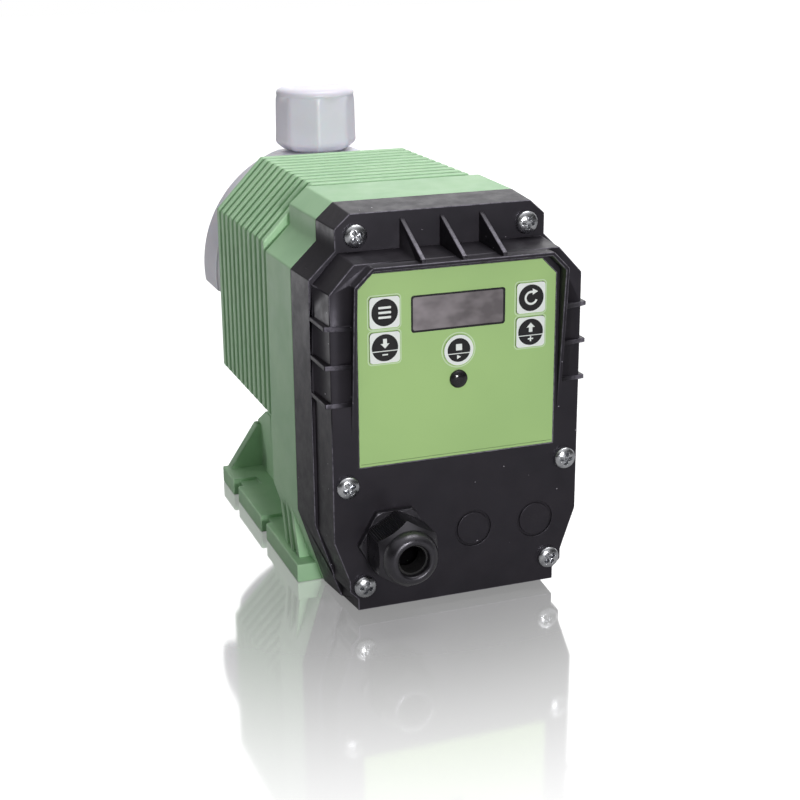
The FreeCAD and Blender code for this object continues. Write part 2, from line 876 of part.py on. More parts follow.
def make_front_cover():
    """Drafted base, raised block, sun hood, webs, blanked entries and the screw posts inside."""
    body = new_body("front_cover")

    base = new_sketch(body, "base", "XZ_Plane", out=dim.parting_reach)
    draw_outline(base, necked_outline())
    pad(body, base, dim.base_depth, draft=-dim.base_draft)

    block = new_sketch(body, "block", "XZ_Plane", out=ledge_reach)
    draw_outline(block, block_outline())
    pad(body, block, dim.block_depth, draft=-dim.block_draft)

    recess = new_sketch(body, "panel_recess", "XZ_Plane", out=face_reach)
    draw_outline(recess, panel_outline(-dim.fit_gap))
    pocket(body, recess, dim.panel_recess)

    add_hood(body)
    add_cover_webs(body)

    inner = new_sketch(body, "base_cavity", "XZ_Plane", out=dim.parting_reach)
    draw_outline(inner, necked_outline(dim.base_side_wall))
    pocket(body, inner, dim.base_depth - dim.cover_wall, out=True)

    inner = new_sketch(body, "block_cavity", "XZ_Plane", out=dim.parting_reach)
    draw_outline(inner, block_outline(dim.block_side_wall))
    pocket(body, inner, inner_reach - dim.parting_reach, out=True)

    for reach, places in cover_screw_groups:
        posts = new_sketch(body, "screw_posts", "XZ_Plane", out=dim.parting_reach)
        draw_circles(posts, dim.boss_radius, places)
        pad(body, posts, reach - dim.parting_reach - dim.root)
        holes = new_sketch(body, "screw_holes", "XZ_Plane", out=reach)
        draw_circles(holes, dim.screw_radius + dim.fit_gap, places)
        pocket(body, holes, reach - dim.parting_reach)

    posts = new_sketch(body, "board_posts", "XZ_Plane", out=board_reach)
    draw_circles(posts, dim.post_radius, post_places)
    pad(body, posts, inner_reach - board_reach + dim.root / 2)
    holes = new_sketch(body, "board_post_holes", "XZ_Plane", out=board_reach)
    draw_circles(holes, dim.small_screw_radius + dim.fit_gap, post_places)
    pocket(body, holes, dim.small_screw_bite + dim.small_screw_spare, out=True)

    cut_panel_openings(body)


def add_hood(body):
    """The rim round the panel, deepest at its top and cut back to nothing along a slant."""
    half = hood_width / 2
    wall = dim.hood_wall
    corner = dim.hood_corner
    rim = new_sketch(body, "hood", "XZ_Plane", out=face_reach - dim.hood_root)
    draw_outline(
        rim,
        mirrored(
            [
                (half - corner, hood_top),
                (half, hood_top - corner),
                (half, hood_bottom - dim.root),
                (half - wall, hood_bottom - dim.root),
                (half - wall, hood_top - corner - TURN * wall),
                (half - corner - TURN * wall, hood_top - wall),
            ]
        ),
    )
    pad(body, rim, dim.hood_reach + dim.hood_root)

    clear = -hood_front - dim.root
    below = hood_bottom - dim.hood_reach
    slant = new_sketch(body, "hood_slant", "YZ_Plane", out=cover_width / 2)
    draw_outline(
        slant,
        [
            (-hood_front, hood_top),
            (-face_reach, hood_bottom),
            (-face_reach, below),
            (clear, below),
            (clear, hood_top),
        ],
    )
    pocket(body, slant, cover_width)


def add_cover_webs(body):
    """Three webs on top of the hood and three on each side of it, all just short of its rim."""
    back = dim.root - ledge_reach
    for step in (-1, 0, 1):
        web = new_sketch(
            body, "crown_web", "YZ_Plane", out=step * dim.crown_web_pitch - dim.web_wall / 2
        )
        draw_outline(
            web,
            [
                (back, cover_top - dim.crown_web_drop),
                (-ledge_reach, cover_top - dim.crown_web_drop),
                (dim.crown_web_setback - hood_front, hood_top + dim.crown_web_rise),
                (dim.crown_web_setback - hood_front, hood_top - dim.root),
                (back, hood_top - dim.root),
            ],
        )
        pad(body, web, dim.web_wall)

    for step in range(3):
        height = hood_top - dim.side_web_drop - step * dim.side_web_pitch
        rim = face_reach + dim.hood_reach * (height - hood_bottom) / dim.hood_height
        web = new_sketch(body, "side_web", "XY_Plane", out=height - dim.web_wall / 2)
        for side in (-1, 1):
            inner = side * (hood_width / 2 - dim.side_web_root)
            outer = side * (block_width / 2 + dim.side_web_proud)
            draw_outline(
                web,
                [
                    (inner, back),
                    (inner, dim.side_web_setback - rim),
                    (outer, -face_reach),
                    (outer, back),
                ],
            )
        pad(body, web, dim.web_wall)


def cut_panel_openings(body):
    """Display window, key wells, lens hole, gland hole and the rings round the blanked entries."""
    cuts = new_sketch(body, "panel_openings", "XZ_Plane", out=panel_floor)
    draw_panel_cuts(cuts)
    pocket(body, cuts, dim.cover_wall)

    entry = new_sketch(body, "gland_hole", "XZ_Plane", out=face_reach)
    draw_circle(entry, dim.gland_thread + dim.fit_gap, gland_place, dim.gland_height)
    pocket(body, entry, dim.cover_wall)

    blanks = new_sketch(body, "blank_rings", "XZ_Plane", out=face_reach)
    for across in (far_blank_place - dim.blank_pitch, far_blank_place):
        draw_circle(blanks, dim.blank_radius, across, dim.blank_height)
        draw_circle(blanks, dim.blank_radius - dim.blank_groove, across, dim.blank_height)
    pocket(body, blanks, dim.blank_groove)


def draw_gasket(sketch):
    """Draw the two edges of the gasket that lies between the flange and the cover."""
    draw_outline(sketch, necked_outline(dim.gasket_inset))
    draw_outline(sketch, necked_outline(dim.gasket_inset + dim.gasket_width))


def make_cover_gasket():
    """Flat gasket in the flange's groove, under the cover's edge."""
    body = new_body("cover_gasket")
    face = new_sketch(body, "gasket", "XZ_Plane", out=dim.parting_reach)
    draw_gasket(face)
    pad(body, face, dim.gasket_thickness, back=True)


def make_cover_screws():
    """Six pan head screws through the cover into the flange's bosses."""
    body = new_body("cover_screws")
    tip = dim.screw_grip - dim.parting_reach
    for reach, places in cover_screw_groups:
        top = -reach - dim.screw_head_height
        for across, height in places:
            turn(
                body,
                "cover_screw",
                [
                    (top, 0),
                    (top, dim.screw_head_radius * 0.55),
                    (top + dim.screw_head_height * 0.25, dim.screw_head_radius * 0.85),
                    (top + dim.screw_head_height * 0.7, dim.screw_head_radius),
                    (-reach, dim.screw_head_radius),
                    (-reach, dim.screw_radius),
                    (tip, dim.screw_radius),
                    (tip + dim.screw_point, 0),
                ],
                across=across,
                up=height,
            )


# Operating panel


def panel_outline(inset=0):
    """Outline of the panel plate with its two cut upper corners, drawn in by inset."""
    slip = TURN * as_size(inset)
    half = panel_width / 2 - inset
    return mirrored(
        [
            (panel_width / 2 - dim.panel_corner - slip, panel_top - inset),
            (half, panel_top - dim.panel_corner - slip),
            (half, panel_bottom + inset),
        ]
    )


def draw_panel_cuts(sketch):
    """The openings that the plate and the cover's wall behind it share."""
    half_window = dim.window_depth / 2
    draw_outline(
        sketch,
        box_corners(dim.window_width / 2, window_height - half_window, window_height + half_window),
    )
    well = dim.key_width / 2 + dim.key_gap
    for across, height in square_keys.values():
        draw_outline(sketch, box_corners(well, height - well, height + well, across))
    draw_circle(sketch, dim.round_key_radius + dim.key_gap, 0, round_key_height)
    draw_circle(sketch, dim.lens_shank + dim.fit_gap, 0, lens_height)


def make_panel():
    """The green plate, the display window and its module, the keys and the lens."""
    plate = new_body("panel_overlay")
    face = new_sketch(plate, "plate", "XZ_Plane", out=panel_floor)
    draw_outline(face, panel_outline())
    draw_panel_cuts(face)
    pad(plate, face, dim.panel_thickness)

    half_window = dim.window_depth / 2
    glass = new_body("display_window")
    face = new_sketch(glass, "pane", "XZ_Plane", out=inner_reach)
    draw_outline(
        face,
        box_corners(
            dim.window_width / 2 - dim.fit_gap,
            window_height - half_window + dim.fit_gap,
            window_height + half_window - dim.fit_gap,
        ),
    )
    pad(glass, face, panel_reach - inner_reach - dim.pane_setback)

    display = document.addObject("Part::Box", "lcd_module")
    margin = dim.display_margin
    bind(display, "Length", dim.window_width + 2 * margin)
    bind(display, "Width", inner_reach - board_reach)
    bind(display, "Height", dim.window_depth + 2 * margin)
    place(
        display,
        -dim.window_width / 2 - margin,
        -inner_reach,
        window_height - half_window - margin,
    )
    sub_part(display, "lcd_module")

    for name, (across, height) in square_keys.items():
        make_key(name, across, height)
    make_key("key_start", 0, round_key_height)

    lens = new_body("status_lens", up=lens_height)
    foot = -board_reach - dim.lamp_height - dim.lamp_gap
    turn(
        lens,
        "lens",
        [
            (foot, 0),
            (foot, dim.lens_shank),
            (-panel_reach, dim.lens_shank),
            (-panel_reach, dim.lens_radius),
            (-panel_reach - dim.lens_proud * 0.45, dim.lens_radius * 0.9),
            (-panel_reach - dim.lens_proud * 0.85, dim.lens_radius * 0.55),
            (-panel_reach - dim.lens_proud, 0),
        ],
    )


def make_key(name, across, height):
    """One key: a cap in its well and a stem that reaches to its switch."""
    body = new_body(name, across=across, up=height)
    stem_end = board_reach + dim.switch_height + dim.key_travel + dim.key_rest_gap
    cap = new_sketch(body, name + "_cap", "XZ_Plane", out=inner_reach + dim.key_travel)
    if name == "key_start":
        draw_circle(cap, dim.round_key_radius)
    else:
        half = dim.key_width / 2
        draw_outline(cap, box_corners(half, -half, half))
    pad(body, cap, panel_reach + dim.key_proud - inner_reach - dim.key_travel)
    if name != "key_start":
        along_y = Vector(0, 1, 0)
        finish_edges(body, "Fillet", dim.key_corner, lambda edge: runs_along(edge, along_y))
    stem = new_sketch(body, name + "_stem", "XZ_Plane", out=stem_end)
    draw_circle(stem, dim.stem_radius)
    pad(body, stem, inner_reach + dim.key_travel - stem_end)


# Electronics


def make_electronics():
    """The board on its posts behind the panel, with what it carries."""
    board = new_body("control_board")
    face = new_sketch(board, "board", "XZ_Plane", out=board_reach)
    draw_outline(face, box_corners(board_width / 2, board_bottom, board_top))
    for across, height in post_places:
        draw_circle(face, dim.small_screw_radius + dim.fit_gap, across, height)
    pad(board, face, dim.board_thickness, back=True)
    back = dim.board_thickness - board_reach

    screws = new_body("board_screws")
    tip = -board_reach - dim.small_screw_bite
    rim = dim.post_radius - dim.small_head_inset
    for across, height in post_places:
        turn(
            screws,
            "board_screw",
            [
                (tip, 0),
                (tip, dim.small_screw_radius),
                (back, dim.small_screw_radius),
                (back, rim),
                (back + dim.small_head_height, rim - dim.small_head_slope),
                (back + dim.small_head_height, 0),
            ],
            across=across,
            up=height,
        )

    switches = new_body("key_switches")
    face = new_sketch(switches, "switches", "XZ_Plane", out=board_reach)
    half = dim.switch_width / 2
    for across, height in [*square_keys.values(), (as_size(0), round_key_height)]:
        draw_outline(face, box_corners(half, height - half, height + half, across))
    pad(switches, face, dim.switch_height)

    lamp = new_body("status_lamp", up=lens_height)
    ring(lamp, "lamp", -board_reach - dim.lamp_height, -board_reach, dim.lamp_radius, 0)

    terminals = new_body("terminal_block")
    face = new_sketch(terminals, "terminals", "XZ_Plane", out=-back)
    start = board_bottom + dim.terminal_margin
    draw_outline(face, box_corners(dim.terminal_width / 2, start, start + dim.terminal_height))
    pad(terminals, face, dim.terminal_depth, back=True)

    parts = new_body("board_parts")
    face = new_sketch(parts, "transformer", "XZ_Plane", out=-back)
    start = board_bottom + dim.transformer_rise
    end = start + dim.transformer_height
    draw_outline(face, box_corners(dim.transformer_width / 2, start, end, dim.transformer_place))
    pad(parts, face, dim.transformer_depth, back=True)
    face = new_sketch(parts, "capacitors", "XZ_Plane", out=-back)
    for across in (dim.capacitor_place, dim.capacitor_place + dim.capacitor_pitch):
        draw_circle(face, dim.capacitor_radius, across, board_bottom + dim.capacitor_rise)
    pad(parts, face, dim.capacitor_length, back=True)


# Cable gland


def make_gland():
    """Gland body through the cover, its seal, its domed nut and the locknut inside."""
    where = {"across": gland_place, "along": -face_reach, "up": dim.gland_height}
    tube_end = dim.gland_tube_setback - dim.gland_reach
    dome = dim.gland_nut_flats / 2 - dim.nut_shoulder
    mouth = dim.cable_bore + dim.mouth_rim
    relief = mouth + dim.mouth_relief
    lip = dim.mouth_lip - dim.gland_reach

    body = new_body("gland_body", **where)
    base = new_sketch(body, "gland_base", "XZ_Plane")
    draw_outline(base, regular(6, dim.gland_flats))
    pad(body, base, dim.gland_base)
    tail = dim.cover_wall + dim.locknut_thickness + dim.gland_tail
    ring(body, "gland_tube", tube_end, dim.root - dim.gland_base, dim.gland_tube, 0)
    ring(body, "gland_tail", -dim.root, tail, dim.gland_thread, 0)
    ring(body, "gland_way", tube_end - dim.root, tail + dim.root, mouth, 0, cut=True)

    nut = new_body("gland_nut", **where)
    start = dim.gland_base + dim.nut_gap
    grip = new_sketch(nut, "nut_grip", "XZ_Plane", out=start)
    draw_outline(grip, regular(6, dim.gland_nut_flats))
    pad(nut, grip, dim.gland_reach - start)
    ring(
        nut,
        "nut_shoulder",
        -dim.gland_reach - dim.root,
        dim.dome_length - dim.gland_reach,
        dim.gland_nut_flats,
        dome,
        cut=True,
    )
    finish_edges(
        nut,
        "Fillet",
        dome - mouth - dim.mouth_land,
        lambda edge: lies_at(edge, Vector(0, -1, 0), dim.gland_reach.value),
    )
    turn(
        nut,
        "nut_bore",
        [
            (-dim.gland_reach - dim.root, 0),
            (dim.root - start, 0),
            (dim.root - start, dim.gland_tube + dim.fit_gap),
            (tube_end - dim.seal_run, dim.gland_tube + dim.fit_gap),
            (lip, relief),
            (lip, mouth),
            (-dim.gland_reach - dim.root, mouth),
        ],
        cut=True,
    )

    seal = new_body("gland_seal", **where)
    turn(
        seal,
        "seal",
        [
            (tube_end, dim.cable_bore),
            (tube_end, dim.gland_tube - dim.seal_slip),
            (tube_end - dim.seal_run, dim.gland_tube - dim.seal_slip),
            (lip + dim.seal_gap, relief),
            (lip + dim.seal_gap, dim.cable_bore),
        ],
    )

    locknut = new_body("gland_locknut", **where)
    flats = new_sketch(locknut, "locknut", "XZ_Plane", out=-dim.cover_wall)
    draw_outline(flats, regular(6, dim.gland_flats))
    draw_circle(flats, dim.gland_thread + dim.fit_gap)
    pad(locknut, flats, dim.locknut_thickness, back=True)


# Solenoid

pot_back = barrel_back - dim.rear_wall
pot_start = pot_back - dim.pot_length
tube_radius = dim.armature_radius + dim.fit_gap
core_radius = tube_radius + dim.tube_wall + dim.fit_gap
pole_start = pot_back - dim.pole_plate - dim.pole_length
armature_back = pole_start - dim.stroke - dim.air_gap_spare
armature_front = pot_start + dim.fit_gap
coil_front = pot_start + dim.pot_front
coil_back = pot_back - dim.pole_plate
coil_radius = dim.pot_radius - dim.pot_wall - dim.coil_gap
pole_screw_angle = math.radians(SIZES["pole_screw_turn"])
pole_screw_ring = dim.pot_radius - dim.pole_screw_inset
pole_screw_places = [
    place
    for turn_up in (pole_screw_angle, -pole_screw_angle)
    for place in on_ring(pole_screw_ring, 2, turn_up)
]


def make_solenoid():
    """Pot, bobbin, winding, guide tube, pole, armature, rod, spring, bush and end stop."""
    up = {"up": dim.axis_height}

    pot = new_body("solenoid_pot", **up)
    turn(
        pot,
        "pot",
        [
            (pot_start, core_radius),
            (coil_front, core_radius),
            (coil_front, dim.pot_radius - dim.pot_wall),
            (pot_back, dim.pot_radius - dim.pot_wall),
            (pot_back, dim.pot_radius),
            (pot_start, dim.pot_radius),
        ],
    )

    bobbin = new_body("coil_bobbin", **up)
    flange = coil_radius + dim.bobbin_rim
    drum = core_radius + dim.bobbin_core
    turn(
        bobbin,
        "bobbin",
        [
            (coil_front, core_radius),
            (coil_back, core_radius),
            (coil_back, flange),
            (coil_back - dim.bobbin_flange, flange),
            (coil_back - dim.bobbin_flange, drum),
            (coil_front + dim.bobbin_flange, drum),
            (coil_front + dim.bobbin_flange, flange),
            (coil_front, flange),
        ],
    )

    winding = new_body("coil_winding", **up)
    ring(
        winding,
        "winding",
        coil_front + dim.bobbin_flange,
        coil_back - dim.bobbin_flange,
        coil_radius,
        drum,
    )

    tube = new_body("guide_tube", **up)
    ring(tube, "tube", pot_start, coil_back, tube_radius + dim.tube_wall, tube_radius)

    pole = new_body("pole_core", **up)
    pocket_radius = dim.spring_radius + dim.spring_wire / 2 + dim.spring_room
    nose = dim.rear_bore / 2 - dim.nose_gap
    turn(
        pole,
        "pole",
        [
            (pole_start, pocket_radius),
            (pole_start + dim.spring_pocket, pocket_radius),
            (pole_start + dim.spring_pocket, dim.bush_radius),
            (barrel_back, dim.bush_radius),
            (barrel_back, nose),
            (pot_back, nose),
            (pot_back, dim.pot_radius - dim.pot_wall - dim.fit_gap),
            (coil_back, dim.pot_radius - dim.pot_wall - dim.fit_gap),
            (coil_back, dim.armature_radius),
            (pole_start, dim.armature_radius),
        ],
    )
    holes = new_sketch(pole, "pole_holes", "XZ_Plane", out=-pot_back)
    for across, height in pole_screw_places:
        draw_circle(holes, dim.screw_radius + dim.fit_gap, across, height)
    pocket(pole, holes, dim.pole_plate - dim.pole_screw_floor, out=True)

    bush = new_body("rod_bush", **up)
    ring(
        bush,
        "bush",
        barrel_back - dim.bush_length,
        barrel_back,
        dim.bush_radius,
        dim.rod_radius + dim.fit_gap,
    )

    armature = new_body("armature", **up)
    ring(armature, "armature_slug", armature_front, armature_back, dim.armature_radius, dim.rod_radius)

    rod = new_body("push_rod", **up)
    ring(rod, "rod", armature_front + dim.rod_setback, plate_back - dim.nose_gap, dim.rod_radius, 0)

    stop = new_body("end_stop", **up)
    ring(stop, "stop", pot_start - dim.stop_length, pot_start, dim.pot_radius / 2, 0)
    make_return_spring()


def make_return_spring():
    """Round wire coiled about the rod between the armature and the pole's pocket."""
    wire = dim.spring_wire.value / 2
    start = armature_back.value + wire + dim.spring_front_gap.value
    end = (pole_start + dim.spring_pocket - dim.spring_rear_gap).value - wire
    turns = int(dim.spring_turns.value)
    helix = Part.makeHelix((end - start) / turns, end - start, dim.spring_radius.value)
    section = Part.Wire(
        [Part.makeCircle(wire, Vector(dim.spring_radius.value, 0, 0), Vector(0, 1, 0))]
    )
    shape = Part.Wire(helix.Edges).makePipeShell([section], True, True)
    spring = document.addObject("Part::Feature", "return_spring")
    spring.Shape = shape
    place_now = Vector(0, start, dim.axis_height.value)
    spring.Placement = Placement(place_now, Rotation(Vector(1, 0, 0), -90))
    sub_part(spring, "return_spring")


def make_pole_screws():
    """Four screws that hold the solenoid to the housing's rear wall, hidden by the backing plate."""
    body = new_body("solenoid_screws", up=dim.axis_height)
    for across, height in pole_screw_places:
        ring(
            body,
            "solenoid_screw",
            coil_back + dim.root,
            barrel_back,
            dim.screw_radius,
            0,
            across=across,
            up=height,
        )


# Dosing head


def make_head():
    """Backing plate, diaphragm with its plate, head, head screws, both valves and both caps."""
    up = {"up": dim.axis_height}

    plate = new_body("backing_plate", **up)
    rim = head_radius - dim.plate_inset
    turn(
        plate,
        "backing",
        [
            (barrel_back, dim.diaphragm_hub + dim.plate_bore_gap),
            (plate_back - dim.plate_dish, dim.diaphragm_hub + dim.plate_bore_gap),
            (plate_back - dim.plate_dish_lip, dim.chamber_radius - dim.chamber_rim),
            (plate_back, dim.chamber_radius),
            (plate_back, rim),
            (barrel_back, rim),
        ],
    )
    holes = new_sketch(plate, "backing_holes", "XZ_Plane", out=-plate_back)
    for across, height in head_screw_places:
        draw_circle(holes, dim.screw_radius + dim.fit_gap, across, height)
    pocket(plate, holes, dim.plate_thickness, out=True)
    sides = new_sketch(plate, "backing_sides", "XZ_Plane", out=-plate_back)
    draw_head_sides(sides)
    pocket(plate, sides, dim.plate_thickness, out=True)

    grip = new_body("diaphragm_plate", **up)
    edge = dim.diaphragm_hub - dim.grip_inset
    ring(grip, "plate", plate_back - dim.grip_thickness, plate_back, edge, dim.rod_radius)

    skin = new_body("diaphragm", **up)
    turn(
        skin,
        "skin",
        [
            (plate_back, 0),
            (plate_back + dim.diaphragm_crown, 0),
            (plate_back + dim.diaphragm_crown, dim.diaphragm_hub * 0.6),
            (plate_back + dim.diaphragm_hub_height, dim.diaphragm_hub),
            (plate_back + dim.diaphragm_web, dim.diaphragm_hub + dim.diaphragm_flare),
            (plate_back + dim.diaphragm_web, dim.chamber_radius - dim.root),
            (plate_back + dim.diaphragm_clamp, dim.chamber_radius),
            (plate_back + dim.diaphragm_clamp, dim.diaphragm_radius),
            (plate_back, dim.diaphragm_radius),
        ],
    )

    make_pump_head()
    make_head_screws()
    top, bottom = dim.axis_height + spigot_height, dim.axis_height - spigot_height
    make_valve("discharge", dim.axis_height + valve_floor, top - dim.seal_wire)
    make_valve("suction", bottom + 2 * dim.seal_wire, bottom + dim.seal_wire)
    make_cap("discharge_cap", 1)
    make_cap("suction_cap", -1)


def draw_head_sides(sketch):
    """What is cut off the round head: flats under both caps and a step on each lower side."""
    reach = 2 * dim.spigot_radius
    past = head_radius + dim.root
    for side in (-1, 1):
        flat, rim = side * head_flat, side * past
        draw_outline(sketch, [(-reach, flat), (reach, flat), (reach, rim), (-reach, rim)])
        step = side * (head_radius - dim.head_step_inset)
        draw_outline(
            sketch,
            [(step, -dim.head_step_drop), (rim, -dim.head_step_drop), (rim, -past), (step, -past)],
        )


def make_pump_head():
    """Round head with the chamber, two valve spigots, the ports and the sunk screw holes."""
    body = new_body("pump_head", along=plate_back, up=dim.axis_height)
    face = dim.head_depth - dim.head_boss_height
    turn(
        body,
        "head",
        [
            (dim.chamber_depth, 0),
            (dim.chamber_depth, dim.diaphragm_hub),
            (dim.diaphragm_clamp + dim.chamber_lip, dim.chamber_radius - dim.chamber_rim),
            (dim.diaphragm_clamp, dim.chamber_radius),
            (dim.diaphragm_clamp, dim.diaphragm_radius + dim.fit_gap),
            (0, dim.diaphragm_radius + dim.fit_gap),
            (0, head_radius),
            (face - dim.head_edge, head_radius),
            (face, head_radius - dim.head_edge),
            (face, dim.head_boss),
            (dim.head_depth, dim.head_boss - dim.head_boss_slope),
            (dim.head_depth, 0),
        ],
    )
    sides = new_sketch(body, "head_sides", "XZ_Plane")
    draw_head_sides(sides)
    pocket(body, sides, dim.head_depth)
    start = dim.head_boss
    for side in (-1, 1):
        spigot = new_sketch(body, "spigot", "XY_Plane", out=side * start)
        draw_circle(spigot, dim.spigot_radius, 0, dim.valve_setback)
        pad(body, spigot, spigot_height - start, back=side < 0)
    for side in (-1, 1):
        bore = new_sketch(body, "valve_bore", "XY_Plane", out=side * spigot_height)
        draw_circle(bore, dim.valve_bore, 0, dim.valve_setback)
        pocket(body, bore, dim.valve_room, out=side < 0)
    port = new_sketch(body, "port", "XY_Plane", out=valve_floor + dim.root)
    draw_circle(port, dim.port_radius, 0, dim.valve_setback)
    pocket(body, port, 2 * (valve_floor + dim.root))
    way = new_sketch(body, "chamber_way", "XZ_Plane", out=dim.root - dim.chamber_depth)
    draw_circle(way, dim.port_radius)
    pocket(body, way, dim.valve_setback - dim.chamber_depth + dim.root)

    holes = new_sketch(body, "head_holes", "XZ_Plane")
    sinks = new_sketch(body, "head_sinks", "XZ_Plane", out=-face - dim.root)
    for across, height in head_screw_places:
        draw_circle(holes, dim.screw_radius + dim.fit_gap, across, height)
        draw_circle(sinks, dim.head_screw_head + dim.sink_gap, across, height)
    pocket(body, holes, dim.head_depth)
    pocket(body, sinks, dim.sink_depth + dim.root, out=True)


def make_head_screws():
    """Six socket head screws through the head and the backing plate into the housing."""
    body = new_body("head_screws", along=plate_back, up=dim.axis_height)
    seat = dim.head_depth - dim.head_boss_height - dim.sink_depth
    tip = -dim.plate_thickness - dim.rear_wall - dim.head_screw_bite
    top = seat + dim.head_screw_height
    for across, height in head_screw_places:
        turn(
            body,
            "head_screw",
            [
                (tip, 0),
                (tip, dim.screw_radius),
                (seat, dim.screw_radius),
                (seat, dim.head_screw_head),
                (top, dim.head_screw_head),
                (top, dim.socket_radius),
                (top - dim.socket_depth, dim.socket_radius),
                (top - dim.socket_depth, 0),
            ],
            across=across,
            up=height,
        )


def make_valve(name, floor, seal_middle):
    """Seat, ball, cage and seal of one valve, stacked from the floor up."""
    where = {"along": plate_back + dim.valve_setback, "up": floor}
    shell = dim.valve_bore - dim.fit_gap
    reach = dim.valve_room - 2 * dim.seal_wire
    rest = (dim.ball_radius.value**2 - dim.seat_bore.value**2) ** 0.5
    ball_middle = dim.seat_thickness + rest + dim.ball_rest_gap
    ceiling = ball_middle + dim.ball_radius + dim.ball_lift + dim.ball_top_gap
    ceiling_top = ceiling + dim.cage_ceiling

    seat = new_body(name + "_seat", **where)
    ring(seat, name + "_ring", 0, dim.seat_thickness, shell, dim.seat_bore, upright=True)

    ball = document.addObject("Part::Sphere", name + "_ball")
    bind(ball, "Radius", dim.ball_radius)
    place(ball, 0, where["along"], floor + ball_middle)
    sub_part(ball, name + "_ball")

    cage = new_body(name + "_cage", **where)
    guide = dim.ball_radius + dim.ball_side_gap
    way = dim.port_radius - dim.cage_port_step
    turn(
        cage,
        name + "_shell",
        [
            (dim.seat_thickness, guide),
            (ceiling, guide),
            (ceiling, way),
            (ceiling_top, way),
            (ceiling_top, guide),
            (reach, guide),
            (reach, shell),
            (dim.seat_thickness, shell),
        ],
        upright=True,
    )

    seal = document.addObject("Part::Torus", name + "_seal")
    bind(seal, "Radius1", shell - dim.seal_wire)
    bind(seal, "Radius2", dim.seal_wire)
    place(seal, 0, where["along"], seal_middle)
    sub_part(seal, name + "_seal")


def make_cap(name, side):
    """Eight sided cap nut over a spigot, closed at its outer end."""
    body = new_body(name, along=plate_back + dim.valve_setback, up=dim.axis_height)
    facets = new_sketch(body, name + "_facets", "XY_Plane", out=side * cap_base)
    draw_outline(facets, regular(8, dim.cap_flats, turn=math.radians(SIZES["cap_turn"])))
    pad(body, facets, dim.cap_height, back=side < 0)
    up = Vector(0, 0, side)
    finish_edges(body, "Fillet", dim.cap_corner, lambda edge: runs_along(edge, up))
    finish_edges(body, "Chamfer", dim.cap_bevel, lambda edge: lies_at(edge, up, cap_base.value))
    finish_edges(body, "Fillet", dim.cap_edge, lambda edge: lies_at(edge, up, cap_top.value))
    bore = new_sketch(body, name + "_bore", "XY_Plane", out=side * cap_base)
    draw_circle(bore, dim.spigot_radius + dim.fit_gap)
    pocket(body, bore, dim.spigot_length, out=side > 0)


make_housing()
make_front_cover()
make_cover_gasket()
make_cover_screws()
make_panel()
make_electronics()
make_gland()
make_solenoid()
make_pole_screws()
make_head()


# Check and write


def check_document():
    """Stop on any object that failed and any sub-part without a sound shape."""
    document.recompute()
    for thing in document.Objects:
        faults = {"Invalid", "Error"} & set(thing.State)
        if faults:
            raise ValueError(f"{thing.Name} has failed: {faults}")
    for thing in sub_parts:
        if thing.Shape.isNull() or not thing.Shape.isValid():
            raise ValueError(f"{thing.Label} has no sound shape")


check_document()
os.makedirs("parts", exist_ok=True)
for thing in sub_parts:
    thing.Shape.exportStep(f"parts/{thing.Label}.step")
    print(thing.Label, len(thing.Shape.Solids), round(thing.Shape.Volume))
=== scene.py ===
"""The looks of a diaphragm metering pump: finishes, moulded edges, printed keys, light and camera.

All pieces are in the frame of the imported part. The foot stands on z = 0, the operating panel faces
-Y and the dosing head stands at +Y. Sizes here are in millimetres, and a mesh gets its metres when
it is made.
"""

import logging
import math
from dataclasses import dataclass, field
from enum import Enum

import bmesh
import bpy
import numpy as np
from mathutils import Matrix, Vector
from mathutils.bvhtree import BVHTree


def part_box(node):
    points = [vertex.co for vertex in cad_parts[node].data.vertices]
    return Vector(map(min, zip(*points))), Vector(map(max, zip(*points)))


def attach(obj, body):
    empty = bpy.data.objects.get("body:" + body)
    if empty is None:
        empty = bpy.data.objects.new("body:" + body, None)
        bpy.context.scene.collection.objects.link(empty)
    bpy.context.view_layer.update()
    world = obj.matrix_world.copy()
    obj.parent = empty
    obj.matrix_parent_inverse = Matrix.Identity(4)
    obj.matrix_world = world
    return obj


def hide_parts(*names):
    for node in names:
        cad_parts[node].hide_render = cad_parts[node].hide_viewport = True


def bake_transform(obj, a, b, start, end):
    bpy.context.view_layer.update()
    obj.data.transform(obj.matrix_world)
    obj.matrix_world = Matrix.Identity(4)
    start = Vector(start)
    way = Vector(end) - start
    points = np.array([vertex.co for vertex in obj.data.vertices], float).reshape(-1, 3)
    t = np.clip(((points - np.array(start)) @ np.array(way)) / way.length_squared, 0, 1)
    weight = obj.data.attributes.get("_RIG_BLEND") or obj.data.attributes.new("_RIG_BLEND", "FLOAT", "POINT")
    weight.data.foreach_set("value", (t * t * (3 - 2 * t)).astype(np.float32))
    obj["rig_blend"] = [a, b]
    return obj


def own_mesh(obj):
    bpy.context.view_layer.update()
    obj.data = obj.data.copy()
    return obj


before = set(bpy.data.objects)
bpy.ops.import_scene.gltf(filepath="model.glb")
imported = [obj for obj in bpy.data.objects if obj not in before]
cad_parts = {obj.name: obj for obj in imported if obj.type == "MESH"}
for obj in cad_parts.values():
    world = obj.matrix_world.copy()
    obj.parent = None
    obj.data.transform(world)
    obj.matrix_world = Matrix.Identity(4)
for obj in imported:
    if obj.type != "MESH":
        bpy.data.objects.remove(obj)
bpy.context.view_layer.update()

MM = 0.001
MERGE = 2e-6
SMOOTH_ANGLE = math.radians(40)
FLAT_ANGLE = math.radians(0.6)
CREASE_ANGLE = math.radians(28)

Colour = tuple[float, float, float]
Place = tuple[float, float, float]
Profile = list[tuple[float, float | np.ndarray]]

log = logging.getLogger("metering_pump")


